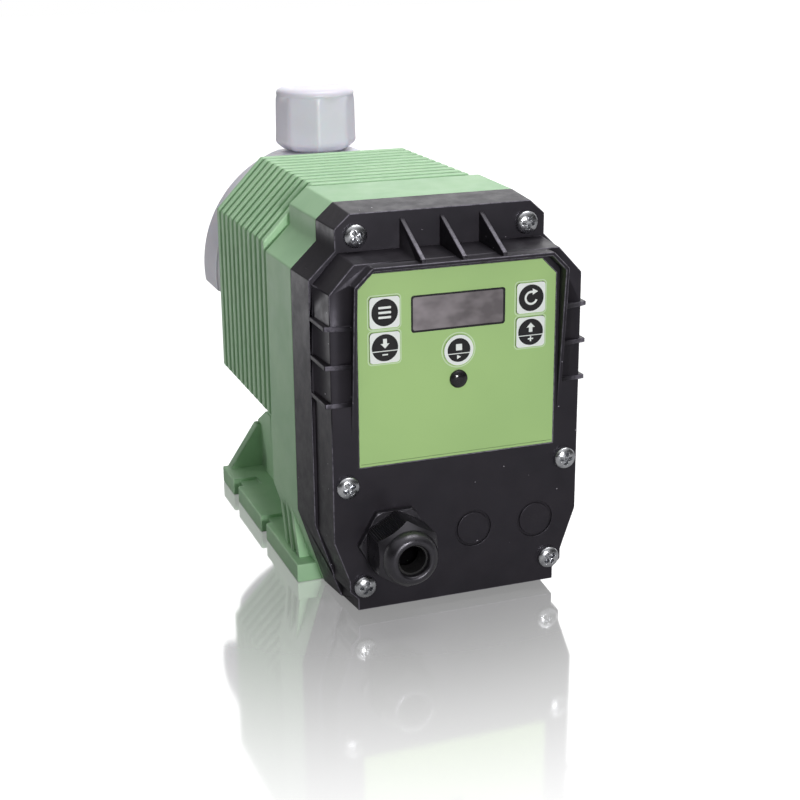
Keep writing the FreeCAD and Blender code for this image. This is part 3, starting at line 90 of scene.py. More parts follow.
def paint(code: str) -> Colour:
    """Turn a screen colour into the linear values that a shader takes.

    Args:
        code: Six hexadecimal digits after a hash mark.

    Returns:
        Red, green and blue from 0 to 1.
    """
    screen = [int(code[place : place + 2], 16) / 255 for place in (1, 3, 5)]
    return tuple(v / 12.92 if v <= 0.04045 else ((v + 0.055) / 1.055) ** 2.4 for v in screen)


@dataclass(frozen=True)
class Box:
    """The space between a lowest and a highest corner, in millimetres."""

    low: np.ndarray
    high: np.ndarray

    @property
    def middle(self) -> np.ndarray:
        """The point half way between the corners."""
        return (self.low + self.high) / 2

    @property
    def size(self) -> np.ndarray:
        """Width, length and height."""
        return self.high - self.low


def node_box(node: str) -> Box:
    """Return the box that a node fills."""
    low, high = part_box(node)
    return Box(np.array(low) / MM, np.array(high) / MM)


def solid_boxes(node: str) -> list[Box]:
    """Find the separate solids of a node.

    Args:
        node: The node's name.

    Returns:
        The box of each solid, in order of their places.
    """
    mesh = bmesh.new()
    mesh.from_mesh(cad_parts[node].data)
    bmesh.ops.remove_doubles(mesh, verts=mesh.verts, dist=MERGE)
    left = set(mesh.verts)
    boxes = []
    while left:
        grown = [left.pop()]
        for vertex in grown:
            beside = {edge.other_vert(vertex) for edge in vertex.link_edges} & left
            left -= beside
            grown.extend(beside)
        places = np.array([vertex.co for vertex in grown]) / MM
        boxes.append(Box(places.min(0), places.max(0)))
    mesh.free()
    return sorted(boxes, key=lambda box: tuple(np.round(box.low, 2)))


def in_scene(name: str, data: bpy.types.ID) -> bpy.types.Object:
    """Make an object of some data and link it into the scene."""
    thing = bpy.data.objects.new(name, data)
    bpy.context.scene.collection.objects.link(thing)
    return thing


# Materials


class Nodes:
    """A tree of shader nodes, grown by calls that return sockets for the next call to use."""

    def __init__(self, tree: bpy.types.NodeTree, place: str) -> None:
        """Take a tree, and the kind of coordinate that its patterns follow."""
        self.tree = tree
        self.place = self.add("ShaderNodeTexCoord").outputs[place]

    def add(self, kind: str, **options: object) -> bpy.types.Node:
        """Add a node of a kind.

        Args:
            kind: The node's type.
            options: Values for its options.

        Returns:
            The new node.
        """
        node = self.tree.nodes.new(kind)
        for option, value in options.items():
            setattr(node, option, value)
        return node

    def feed(self, socket: bpy.types.NodeSocket, value: object) -> None:
        """Give a socket what it works with.

        Args:
            socket: The socket of a node's input.
            value: Another socket to link, or a value. A colour of three numbers gets a one after them.
        """
        if isinstance(value, bpy.types.NodeSocket):
            self.tree.links.new(value, socket)
        elif isinstance(value, tuple) and len(value) == 3 and socket.type == "RGBA":
            socket.default_value = (*value, 1.0)
        else:
            socket.default_value = value

    def fill(self, node: bpy.types.Node, **values: object) -> bpy.types.Node:
        """Feed several inputs of a node.

        Args:
            node: The node.
            values: A value for each input, by its name with low lines for its spaces.

        Returns:
            The same node.
        """
        for name, value in values.items():
            self.feed(node.inputs[name.replace("_", " ")], value)
        return node

    def maths(self, operation: str, first: object, second: object = 0.0) -> bpy.types.NodeSocket:
        """Work out one operation on two values.

        Args:
            operation: The operation's name.
            first: A socket or a number.
            second: Another.

        Returns:
            What comes out.
        """
        node = self.add("ShaderNodeMath", operation=operation)
        self.feed(node.inputs[0], first)
        self.feed(node.inputs[1], second)
        return node.outputs[0]

    def along(self, axis: int) -> bpy.types.NodeSocket:
        """Return the place along one axis."""
        split = self.fill(self.add("ShaderNodeSeparateXYZ"), Vector=self.place)
        return split.outputs[axis]

    def remap(
        self, value: object, low: float, high: float, start: float = 0.0, end: float = 1.0
    ) -> bpy.types.NodeSocket:
        """Stretch a range of values to another with a soft S.

        Args:
            value: What is stretched.
            low: The value that gives the start, as all below it do.
            high: The value that gives the end, as all above it do.
            start: What comes out at the low value.
            end: What comes out at the high value.

        Returns:
            The stretched value.
        """
        node = self.add("ShaderNodeMapRange", interpolation_type="SMOOTHSTEP")
        self.fill(node, Value=value, From_Min=low, From_Max=high, To_Min=start, To_Max=end)
        return node.outputs["Result"]


class Shading(Nodes):
    """A material's nodes, with patterns that follow the object."""

    def __init__(self, name: str) -> None:
        """Start a material with one surface shader."""
        self.material = bpy.data.materials.new(name)
        self.material.use_nodes = True
        self.material.node_tree.nodes.clear()
        super().__init__(self.material.node_tree, "Object")
        self.surface = self.add("ShaderNodeBsdfPrincipled")
        self.output = self.add("ShaderNodeOutputMaterial")
        self.fill(self.output, Surface=self.surface.outputs[0])

    def set(self, **values: object) -> None:
        """Feed the surface shader's inputs."""
        self.fill(self.surface, **values)

    def noise(
        self, size: float, detail: float = 2.0, stretch: Place = (1.0, 1.0, 1.0), rough: float = 0.5
    ) -> bpy.types.NodeSocket:
        """Make noise whose patches are about a size across.

        Args:
            size: Width of the patches in millimetres.
            detail: How many finer layers are added.
            stretch: How many times finer the pattern is along each axis.
            rough: How strong the finer layers are.

        Returns:
            A value that lies round a half.
        """
        mapping = self.fill(self.add("ShaderNodeMapping"), Vector=self.place, Scale=stretch)
        node = self.fill(self.add("ShaderNodeTexNoise"), Vector=mapping.outputs[0])
        self.fill(node, Scale=1.0 / (size * MM), Detail=detail, Roughness=rough)
        return node.outputs[0]

    def specks(self, spacing: float, share: float) -> bpy.types.NodeSocket:
        """Make small round specks, one in some of the cells of a random pattern.

        Args:
            spacing: Width of the cells in millimetres.
            share: Radius of a speck as a part of its cell.

        Returns:
            One in a speck and nought beside it.
        """
        cells = self.add("ShaderNodeTexVoronoi")
        self.fill(cells, Vector=self.place, Scale=1.0 / (spacing * MM))
        chosen = self.fill(self.add("ShaderNodeSeparateColor"), Color=cells.outputs["Color"])
        reach = self.maths("MULTIPLY", self.remap(chosen.outputs[0], 0.45, 1.0), share)
        return self.maths("LESS_THAN", cells.outputs["Distance"], reach)

    def blend(self, share: object, first: object, second: object) -> bpy.types.NodeSocket:
        """Mix two colours.

        Args:
            share: How much of the second is seen.
            first: A colour or a socket.
            second: Another.

        Returns:
            The mixed colour.
        """
        node = self.add("ShaderNodeMix", data_type="RGBA", clamp_factor=True)
        for number, value in ((0, share), (6, first), (7, second)):
            self.feed(node.inputs[number], value)
        return node.outputs[2]

    def attribute(self, name: str) -> bpy.types.NodeSocket:
        """Read a value that the mesh holds at its points."""
        return self.add("ShaderNodeAttribute", attribute_name=name).outputs["Fac"]

    def bump(self, height: object, depth: float) -> bpy.types.NodeSocket:
        """Return a normal for a height pattern from 0 to 1 that rises by a depth in millimetres."""
        node = self.fill(self.add("ShaderNodeBump"), Height=height, Distance=depth * MM, Strength=1.0)
        return node.outputs[0]


@dataclass(frozen=True)
class Moulded:
    """Moulded plastic or rubber: slow mottle, fine texture, scuffed edges that also carry a painted
    highlight where they face forward, dust and specks.
    """

    name: str
    colour: Colour
    mottle: Colour
    roughness: float
    patch: float = 22.0
    grain: float = 0.45
    grain_depth: float = 0.012
    specular: float = 0.5
    tint: Colour = (1.0, 1.0, 1.0)
    scuff_and_highlight: Colour | None = None
    scuff_and_highlight_reach: float = 0.6
    scuff_and_highlight_patch: float = 2.6
    speck: Colour | None = None
    glow: float = 0.0
    glow_depth: float = 2.0

    def build(self) -> bpy.types.Material:
        """Make the material."""
        shade = Shading(self.name)
        slow = shade.noise(self.patch, detail=4.0)
        colour = shade.blend(shade.remap(slow, 0.3, 0.7), self.colour, self.mottle)
        fine = shade.noise(self.grain, detail=3.0)
        uneven = shade.noise(self.patch * 0.35, detail=5.0, rough=0.65)
        rough = shade.remap(uneven, 0.25, 0.75, self.roughness - 0.07, self.roughness + 0.09)
        # Scuffed edges with a painted highlight: rounded edges that face forward are lightened in broken
        # patches.
        if self.scuff_and_highlight is not None:
            broken = shade.noise(self.scuff_and_highlight_patch, detail=6.0, rough=0.7)
            broken = shade.remap(broken, 0.34, 0.62, 0.25, 1.0)
            edge = shade.remap(shade.attribute("edge_wear_and_highlight"), 0.0, 1.0)
            worn_and_highlit = shade.maths("MULTIPLY", edge, shade.maths("MULTIPLY", broken, self.scuff_and_highlight_reach))
            colour = shade.blend(worn_and_highlit, colour, self.scuff_and_highlight)
        if self.speck is not None:
            spots = shade.maths("MAXIMUM", shade.specks(4.2, 0.055), shade.specks(9.0, 0.04))
            colour = shade.blend(spots, colour, self.speck)
        shade.set(Base_Color=colour, Roughness=rough, Specular_IOR_Level=self.specular)
        shade.set(Normal=shade.bump(fine, self.grain_depth), Specular_Tint=self.tint)
        if self.glow:
            shade.set(Subsurface_Weight=self.glow, Subsurface_Scale=self.glow_depth * MM)
        return shade.material


@dataclass(frozen=True)
class Metal:
    """Bare metal with fine scratches drawn out along one axis."""

    name: str
    colour: Colour
    shade_colour: Colour
    roughness: float
    stretch: Place = (1.0, 0.08, 1.0)
    scratch: float = 0.25
    patch: float = 3.0
    depth: float = 0.006

    def build(self) -> bpy.types.Material:
        """Make the material."""
        shade = Shading(self.name)
        lines = shade.noise(self.scratch, 4.0, self.stretch, 0.7)
        patches = shade.noise(self.patch, detail=3.0)
        colour = shade.blend(shade.remap(patches, 0.3, 0.7), self.colour, self.shade_colour)
        rough = shade.remap(lines, 0.2, 0.8, self.roughness * 0.6, self.roughness * 1.5)
        shade.set(Base_Color=colour, Roughness=rough, Metallic=1.0)
        shade.set(Normal=shade.bump(lines, self.depth))
        return shade.material


@dataclass(frozen=True)
class Winding:
    """Enamelled wire wound side by side: a rounded ripple along the coil, with painted shade in the gaps
    between turns, and a lacquer.
    """

    name: str
    colour: Colour
    gap_shade_colour: Colour
    wire: float = 0.55
    ripple: float = 0.08

    def build(self) -> bpy.types.Material:
        """Make the material, whose height is the size of the sine of half a turn for each wire."""
        shade = Shading(self.name)
        turn = shade.maths("MULTIPLY", shade.along(1), math.pi / (self.wire * MM))
        crest = shade.maths("ABSOLUTE", shade.maths("SINE", turn))
        # Painted shade: the colour darkens from the crest of each turn into the gap beside it.
        colour = shade.blend(shade.remap(crest, 0.1, 0.8), self.gap_shade_colour, self.colour)
        lacquer = shade.remap(shade.noise(6.0, detail=3.0), 0.3, 0.7, 0.22, 0.4)
        shade.set(Base_Color=colour, Roughness=lacquer, Metallic=0.85, Coat_Weight=0.4)
        shade.set(Normal=shade.bump(crest, self.ripple))
        return shade.material


@dataclass(frozen=True)
class Film:
    """Printed plastic film or ink: even colour, a faint orange peel and a soft gloss."""

    name: str
    colour: Colour
    far_colour: Colour
    roughness: float
    coat: float = 0.0
    peel: float = 0.004

    def build(self) -> bpy.types.Material:
        """Make the material."""
        shade = Shading(self.name)
        drift = shade.remap(shade.noise(45.0, detail=2.0), 0.3, 0.7)
        colour = shade.blend(drift, self.colour, self.far_colour)
        smears = shade.noise(7.0, detail=4.0)
        rough = shade.remap(smears, 0.3, 0.7, self.roughness - 0.05, self.roughness + 0.06)
        shade.set(Base_Color=colour, Roughness=rough, Specular_IOR_Level=0.35)
        shade.set(Normal=shade.bump(shade.noise(0.6, detail=3.0), self.peel))
        if self.coat:
            shade.set(Coat_Weight=self.coat, Coat_Roughness=0.12)
        return shade.material


@dataclass(frozen=True)
class SmokedPane:
    """The display's window: grey, clouded in soft patches and darker towards one side."""

    name: str
    light: Colour
    dark: Colour
    half_width: float
    side_share: float = 0.55
    cloud_share: float = 0.7

    def build(self) -> bpy.types.Material:
        """Make the material."""
        shade = Shading(self.name)
        reach = self.half_width * MM
        across = shade.remap(shade.along(0), -reach, reach, 0.0, self.side_share)
        cloud = shade.remap(shade.noise(11.0, 2.0, (1.0, 1.0, 1.6)), 0.32, 0.7)
        share = shade.maths("ADD", across, shade.maths("MULTIPLY", cloud, self.cloud_share))
        colour = shade.blend(shade.maths("MINIMUM", share, 1.0), self.light, self.dark)
        shade.set(Base_Color=colour, Roughness=0.22, Coat_Weight=0.5, Coat_Roughness=0.08)
        shade.set(Normal=shade.bump(shade.noise(1.5, detail=2.0), 0.003))
        return shade.material


Finish = Moulded | Metal | Winding | Film | SmokedPane

# The edge colours below lighten the rounded edges that face forward: partly wear, partly a painted edge
# highlight.
HOUSING_GREEN = Moulded(
    "sage_green_housing", paint("#A9CFA6"), paint("#A0C89F"), 0.5, scuff_and_highlight=paint("#C4E2C0"), scuff_and_highlight_reach=0.3
)
COVER_BLACK = Moulded(
    "black_cover", paint("#161418"), paint("#1C191D"), 0.44, grain_depth=0.01, specular=0.4,
    tint=(0.9, 0.86, 1.0), scuff_and_highlight=paint("#8F8B97"), scuff_and_highlight_reach=0.6, speck=paint("#B9B5BE"),
)
GLAND_BLACK = Moulded(
    "black_nylon", paint("#151417"), paint("#1B1A1D"), 0.33, patch=8.0, grain_depth=0.003, specular=0.8,
    tint=(0.93, 0.9, 1.0),
)
RUBBER = Moulded("black_rubber", paint("#141415"), paint("#1C1B1C"), 0.7, patch=6.0, grain=0.3)
HEAD_WHITE = Moulded(
    "white_head", paint("#DDDBE4"), paint("#D3D1DC"), 0.38, grain_depth=0.005, glow=0.15,
    scuff_and_highlight=paint("#F0EFF4"), scuff_and_highlight_reach=0.4,
)
CAP_WHITE = Moulded(
    "white_cap", paint("#E5E2EE"), paint("#E1DEEA"), 0.34, patch=16.0, grain_depth=0.001, glow=0.14,
)
BOBBIN = Moulded("bobbin_plastic", paint("#D9D3C4"), paint("#CBC4B3"), 0.45)
BACKING = Moulded("backing_plastic", paint("#C9CACF"), paint("#BDBEC4"), 0.45)
DIAPHRAGM = Moulded("faced_diaphragm", paint("#E6E6E2"), paint("#D6D5CF"), 0.35, grain=0.8)
BOARD = Moulded("circuit_board", paint("#2F6B3C"), paint("#28603A"), 0.4, patch=9.0, grain=0.9)
SWITCH = Moulded("switch_plastic", paint("#26262A"), paint("#303035"), 0.45, patch=4.0)
TERMINAL = Moulded("terminal_plastic", paint("#3E7D4B"), paint("#366F43"), 0.45, patch=6.0)
COMPONENT = Moulded("wrapped_component", paint("#33343A"), paint("#3F4048"), 0.4, patch=5.0)
DISPLAY_CASE = Moulded("display_case", paint("#3B4440"), paint("#333B38"), 0.4, patch=7.0)
BALL = Moulded("ceramic_ball", paint("#EFEFF0"), paint("#E4E4E6"), 0.14, patch=3.0, grain_depth=0.001)
LENS_DARK = Moulded("smoked_lens", paint("#18171A"), paint("#232225"), 0.16, patch=2.0, grain_depth=0.001)
STEEL = Metal("stainless_screw", paint("#CDCED1"), paint("#A9AAAF"), 0.24, (1.0, 1.0, 1.0), 0.5)
ROD_STEEL = Metal("turned_steel", paint("#B9BBC0"), paint("#A3A5AB"), 0.25)
SOFT_IRON = Metal("soft_iron", paint("#8E9096"), paint("#7C7E84"), 0.4)
BRASS = Metal("drawn_brass", paint("#C2A25B"), paint("#AE8E4C"), 0.28)
COPPER = Winding("copper_winding", paint("#B4673A"), paint("#4A2412"))
OVERLAY_GREEN = Film("printed_overlay", paint("#A6C882"), paint("#A0C27E"), 0.42, coat=0.15)
KEY_WHITE = Film("white_ink", paint("#E9EDEA"), paint("#E2E7E4"), 0.4, coat=0.15)
KEY_OUTLINE = Film("pale_ink", paint("#C9DDB9"), paint("#C3D8B3"), 0.4)
KEY_BLACK = Film("black_ink", paint("#131215"), paint("#18171A"), 0.34, coat=0.15)
FINE_LINE = Film("fine_line_ink", paint("#3F5230"), paint("#485B38"), 0.4)


def made(finish: Finish) -> bpy.types.Material:
    """Return a finish's material, made the first time that it is asked for."""
    return bpy.data.materials.get(finish.name) or finish.build()


# Surfaces


class Ends(Enum):
    """How the first and the last ring of a swept surface are closed."""

    POINTED = "a fan of triangles about the ring's middle"
    FLAT = "one flat face"
    LOOPED = "the last ring joins the first"


@dataclass
class Surface:
    """Points in millimetres and the faces that join them."""

    points: np.ndarray
    faces: list[tuple[int, ...]]

    def __add__(self, other: "Surface") -> "Surface":
        """Hold two surfaces as one."""
        shift = len(self.points)
        faces = [tuple(corner + shift for corner in face) for face in other.faces]
        return Surface(np.vstack([self.points, other.points]), self.faces + faces)

    def moved(self, across: float = 0.0, along: float = 0.0, up: float = 0.0) -> "Surface":
        """Return the surface in another place."""
        return Surface(self.points + np.array([across, along, up]), self.faces)

    def upright(self, side: int) -> "Surface":
        """Return the surface with its length on Z: upwards for a side of 1, and downwards for -1."""
        return Surface(self.points[:, [0, 2, 1]] * [1, 1, side], self.faces)


def joined(parts: list[Surface]) -> Surface:
    """Hold several surfaces as one."""
    return sum(parts[1:], parts[0])


def swept(rings: np.ndarray, ends: Ends = Ends.POINTED) -> Surface:
    """Join a grid of points, ring by ring, into a closed surface.

    Args:
        rings: The points as rings, columns and three coordinates. Each ring joins up with itself.
        ends: How the first and last ring are closed.

    Returns:
        The surface, of four cornered faces and its ends.
    """
    count, columns = rings.shape[:2]
    rows = count if ends is Ends.LOOPED else count - 1
    row, column = np.meshgrid(np.arange(rows) * columns, np.arange(columns), indexing="ij")
    beside = (column + 1) % columns
    over = (row + columns) % (count * columns)
    quads = np.stack([row + column, row + beside, over + beside, over + column], axis=-1)
    points = rings.reshape(-1, 3)
    faces = [tuple(quad) for quad in quads.reshape(-1, 4).tolist()]
    last = (count - 1) * columns
    if ends is Ends.FLAT:
        faces.append(tuple(range(columns - 1, -1, -1)))
        faces.append(tuple(range(last, last + columns)))
    if ends is Ends.POINTED:
        points = np.vstack([points, rings[0].mean(0), rings[-1].mean(0)])
        middle = count * columns
        following = [(corner, (corner + 1) % columns) for corner in range(columns)]
        faces += [(b, a, middle) for a, b in following]
        faces += [(last + a, last + b, middle + 1) for a, b in following]
    return Surface(points, faces)


def round_steps(columns: int) -> np.ndarray:
    """Return equal steps round a full circle, in radians."""
    return np.linspace(0, 2 * np.pi, columns, endpoint=False)


def about_axis(along: np.ndarray, radius: np.ndarray, angle: np.ndarray) -> np.ndarray:
    """Set points about the Y axis, each at (radius cos t, along, radius sin t) for its angle t.

    Args:
        along: Places along Y.
        radius: Distances from the axis.
        angle: Angles in radians. All three have the shape of the grid, or spread to it.

    Returns:
        The points as rings, columns and three coordinates.
    """
    along, radius, angle = np.broadcast_arrays(along, radius, angle)
    return np.stack([radius * np.cos(angle), along, radius * np.sin(angle)], axis=-1)


def turned(profile: Profile, columns: int = 64, ends: Ends = Ends.POINTED) -> Surface:
    """Turn a profile about the Y axis.

    Args:
        profile: Pairs of a place along Y and a radius: one number, or one for each step of the ring.
        columns: Number of steps round the circle.
        ends: How the ends are closed.

    Returns:
        The turned surface.
    """
    along = np.array([place for place, _ in profile])[:, None]
    radius = np.stack([reach * np.ones(columns) for _, reach in profile])
    return swept(about_axis(along, radius, round_steps(columns)), ends)


def polygon(
    angle: np.ndarray, sides: int, flats: float, power: float = math.inf, turn: float = 0.0
) -> np.ndarray:
    """Return the radius of a polygon at some angles.

    Each side gives the cosine of the angle from its middle. The cosines are raised to a power and
    added up, and the radius is half the width over the same root of that sum. The higher the power,
    the sharper the corners.

    Args:
        angle: The angles in radians.
        sides: Number of sides.
        flats: Width across flats.
        power: The power, which is infinite for sharp corners.
        turn: How far the polygon is turned, in radians.

    Returns:
        A radius for each angle.
    """
    cosines = np.cos(angle[:, None] - turn - round_steps(sides))
    return flats / 2 / np.linalg.norm(np.clip(cosines, 0, 1), ord=power, axis=1)


def arc(
    middle: tuple[float, float], radius: float | tuple[float, float], start: float, end: float, steps: int
) -> np.ndarray:
    """Return points on an arc: the middle and the radius times the cosine and sine of an angle.

    Args:
        middle: The arc's middle.
        radius: Its radius, or the two of an ellipse.
        start: Its first angle in degrees.
        end: Its last angle in degrees.
        steps: How many steps it has.

    Returns:
        The points, one more than the steps.
    """
    angle = np.radians(np.linspace(start, end, steps + 1))
    return np.array(middle) + np.stack([np.cos(angle), np.sin(angle)], axis=-1) * radius


def rounded_box(width: float, height: float, corner: float, count: int = 40) -> np.ndarray:
    """Return a rectangle with round corners.

    A circle of the corner's radius is cut into four, and each quarter is pushed out to its corner.

    Args:
        width: Width of the rectangle.
        height: Height of the rectangle.
        corner: Radius of the corners.
        count: Number of points, which four divides.

    Returns:
        The points round the outline.
    """
    angle = round_steps(count) + np.pi / count
    circle = np.stack([np.cos(angle), np.sin(angle)], axis=-1)
    return circle * corner + np.sign(circle) * (np.array([width, height]) / 2 - corner)


def disc(radius: float, count: int = 64) -> np.ndarray:
    """Return points round a circle."""
    return rounded_box(2 * radius, 2 * radius, radius, count)


def standing(outline: np.ndarray, along: float) -> np.ndarray:
    """Stand an outline up in the panel's plane, at a place along Y."""
    return np.insert(outline, 1, along, axis=1)


def slab(outline: np.ndarray, back: float, front: float) -> Surface:
    """Return a flat plate in the panel's plane between two places along Y."""
    return swept(np.stack([standing(outline, back), standing(outline, front)]), Ends.FLAT)


def band(outer: np.ndarray, inner: np.ndarray, back: float, front: float) -> Surface:
    """Return a flat frame between two outlines with as many points."""
    rings = (outer, back), (outer, front), (inner, front), (inner, back)
    return swept(np.stack([standing(outline, along) for outline, along in rings]), Ends.LOOPED)


def step(value: np.ndarray, low: float | np.ndarray, high: float | np.ndarray) -> np.ndarray:
    """Return nought below low and one above high, with a soft S between them."""
    share = np.clip((value - low) / (high - low), 0, 1)
    return share * share * (3 - 2 * share)


def piece(
    name: str,
    surface: Surface,
    finish: Finish,
    body: str | None = "body",
    replaces: tuple[str, ...] = (),
) -> bpy.types.Object:
    """Make a surface a piece of the object.

    Args:
        name: The piece's name.
        surface: Its shape in millimetres.
        finish: Its finish.
        body: The body that it rides on, or none where it bends between two.
        replaces: The nodes that it stands for.

    Returns:
        The new object.
    """
    mesh = bpy.data.meshes.new(name)
    mesh.from_pydata((surface.points * MM).tolist(), [], surface.faces)
    shell = bmesh.new()
    shell.from_mesh(mesh)
    bmesh.ops.recalc_face_normals(shell, faces=shell.faces)
    shell.to_mesh(mesh)
    shell.free()
    return settled(mesh, finish, body, replaces)


def settled(
    mesh: bpy.types.Mesh, finish: Finish, body: str | None, replaces: tuple[str, ...]
) -> bpy.types.Object:
    """Shade a mesh, dress it, and set it on its body in place of its nodes.

    Args:
        mesh: The mesh, which has the piece's name.
        finish: Its finish.
        body: The body that it rides on, or none where it bends between two.
        replaces: The nodes that it stands for.

    Returns:
        The new object.
    """
    mesh.shade_smooth()
    mesh.set_sharp_from_angle(angle=SMOOTH_ANGLE)
    mesh.materials.append(made(finish))
    thing = in_scene(mesh.name, mesh)
    weighted = thing.modifiers.new("even_faces", "WEIGHTED_NORMAL")
    weighted.keep_sharp = True
    if body is not None:
        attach(thing, body)
    if replaces:
        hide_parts(*replaces)
    log.info("%s: %d faces, in %s", thing.name, len(mesh.polygons), finish.name)
    return thing


@dataclass(frozen=True)
class Rounding:
    """How a moulding's sharp outer edges are rounded: width in millimetres, and where.

    With a region, only the edges inside it that run across the part, level to within ``level``, are
    rounded. A ray that starts a ``lift`` above an edge finds what stands over it. An edge longer
    than ``straight`` is scuffed and lightened by a painted highlight, and with it the faces narrower
    than ``narrow``: not at all where the forward part of the normal is the first number of
    ``highlight_facing``, and fully at the second.
    """

    width: float
    region: Box | None = None
    steps: int = 3
    narrow: float = 1.2
    straight: float = 2.5
    level: float = 0.1
    lift: float = 0.05
    # How far forward a rounded edge must face to get the painted highlight.
    highlight_facing: tuple[float, float] = (0.2, 0.45)


def outward_edges(mesh: bmesh.types.BMesh, rounding: Rounding) -> list[bmesh.types.BMEdge]:
    """Find the raised edges that face open space, not those inside a hollow.

    Args:
        mesh: The moulding.
        rounding: The region to look in, if any.

    Returns:
        The edges from whose middle a ray along the mean of the faces' normals meets nothing.
    """
    tree = BVHTree.FromBMesh(mesh)
    region = rounding.region
    found = []
    for edge in mesh.edges:
        if not edge.is_manifold or edge.calc_face_angle_signed(0.0) < CREASE_ANGLE:
            continue
        if region is not None:
            ends = np.array([vertex.co for vertex in edge.verts]) / MM
            outside = (ends < region.low).any() or (ends > region.high).any()
            if outside or abs(ends[0, 1] - ends[1, 1]) > rounding.level:
                continue
        outward = (edge.link_faces[0].normal + edge.link_faces[1].normal).normalized()
        middle = (edge.verts[0].co + edge.verts[1].co) / 2
        if tree.ray_cast(middle + outward * rounding.lift * MM, outward)[0] is None:
            found.append(edge)
    return found


def mark_wear_and_highlight(shell: bmesh.types.BMesh, bevel: dict, rounding: Rounding) -> None:
    """Write how scuffed each point of the new round edges is, and how much painted highlight it carries.

    Args:
        shell: The moulding.
        bevel: The faces and points that rounding its edges made.
        rounding: Which edges are scuffed and highlighted.
    """
    wear_and_highlight_layer = shell.verts.layers.float["edge_wear_and_highlight"]
    start, full = rounding.highlight_facing
    shell.normal_update()
    worn_and_highlit = set(bevel["faces"])
    worn_and_highlit.update(
        face for face in shell.faces
        if face.calc_area() < rounding.narrow * MM * max(edge.calc_length() for edge in face.edges)
    )
    for vertex in bevel["verts"]:
        # Painted highlight: the lightening grows as the edge's normal turns forward.
        share = (-vertex.normal.y - start) / (full - start)
        straight = max(edge.calc_length() for edge in vertex.link_edges) > rounding.straight * MM
        on_edge = straight and all(face in worn_and_highlit for face in vertex.link_faces)
        vertex[wear_and_highlight_layer] = min(1.0, max(0.0, share)) * on_edge


def moulded_copy(node: str, name: str, finish: Finish, slot: str, *roundings: Rounding) -> None:
    """Make a node's shape again with rounded edges, and mark where they are scuffed and carry a painted
    highlight.

    Args:
        node: The node that the piece stands for.
        name: The piece's name.
        finish: Its finish.
        slot: Not used.
        roundings: How its edges are rounded, one after the other.
    """
    shell = bmesh.new()
    shell.from_mesh(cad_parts[node].data)
    bmesh.ops.remove_doubles(shell, verts=shell.verts, dist=MERGE)
    bmesh.ops.dissolve_limit(shell, angle_limit=FLAT_ANGLE, verts=shell.verts, edges=shell.edges)
    shell.verts.layers.float.new("edge_wear_and_highlight")
    for rounding in roundings:
        bevel = bmesh.ops.bevel(
            shell, geom=outward_edges(shell, rounding), offset=rounding.width * MM, offset_type="OFFSET",
            segments=rounding.steps, profile=0.5, affect="EDGES", clamp_overlap=False,
        )
        mark_wear_and_highlight(shell, bevel, rounding)
    mesh = bpy.data.meshes.new(name)
    shell.to_mesh(mesh)
    shell.free()
    settled(mesh, finish, "body", (node,))


# Sub-assemblies


@dataclass(frozen=True)
class Mouldings:
    """The housing, the front cover and the dosing head, with rounded edges."""

    rib_round: float = 1.0
    rib_steps: int = 4
    rib_region: Box = Box(np.array([-80.0, -35.0, 70.0]), np.array([80.0, 60.0, 200.0]))
    housing_round: float = 0.7
    cover_round: float = 0.45
    head_round: float = 1.1

    def build(self) -> None:
        """Make each moulding again with its edges rounded, the ribs of the housing first."""
        ribs = Rounding(self.rib_round, self.rib_region, self.rib_steps)
        sides, cover, head = (Rounding(v) for v in (self.housing_round, self.cover_round, self.head_round))
        moulded_copy("housing", "ribbed_housing", HOUSING_GREEN, "housing", ribs, sides)
        moulded_copy("front_cover", "cover_shell", COVER_BLACK, "cover", cover)
        moulded_copy("pump_head", "head_block", HEAD_WHITE, "head", head)
        moulded_copy("backing_plate", "backing_disc", BACKING, "backing", head)


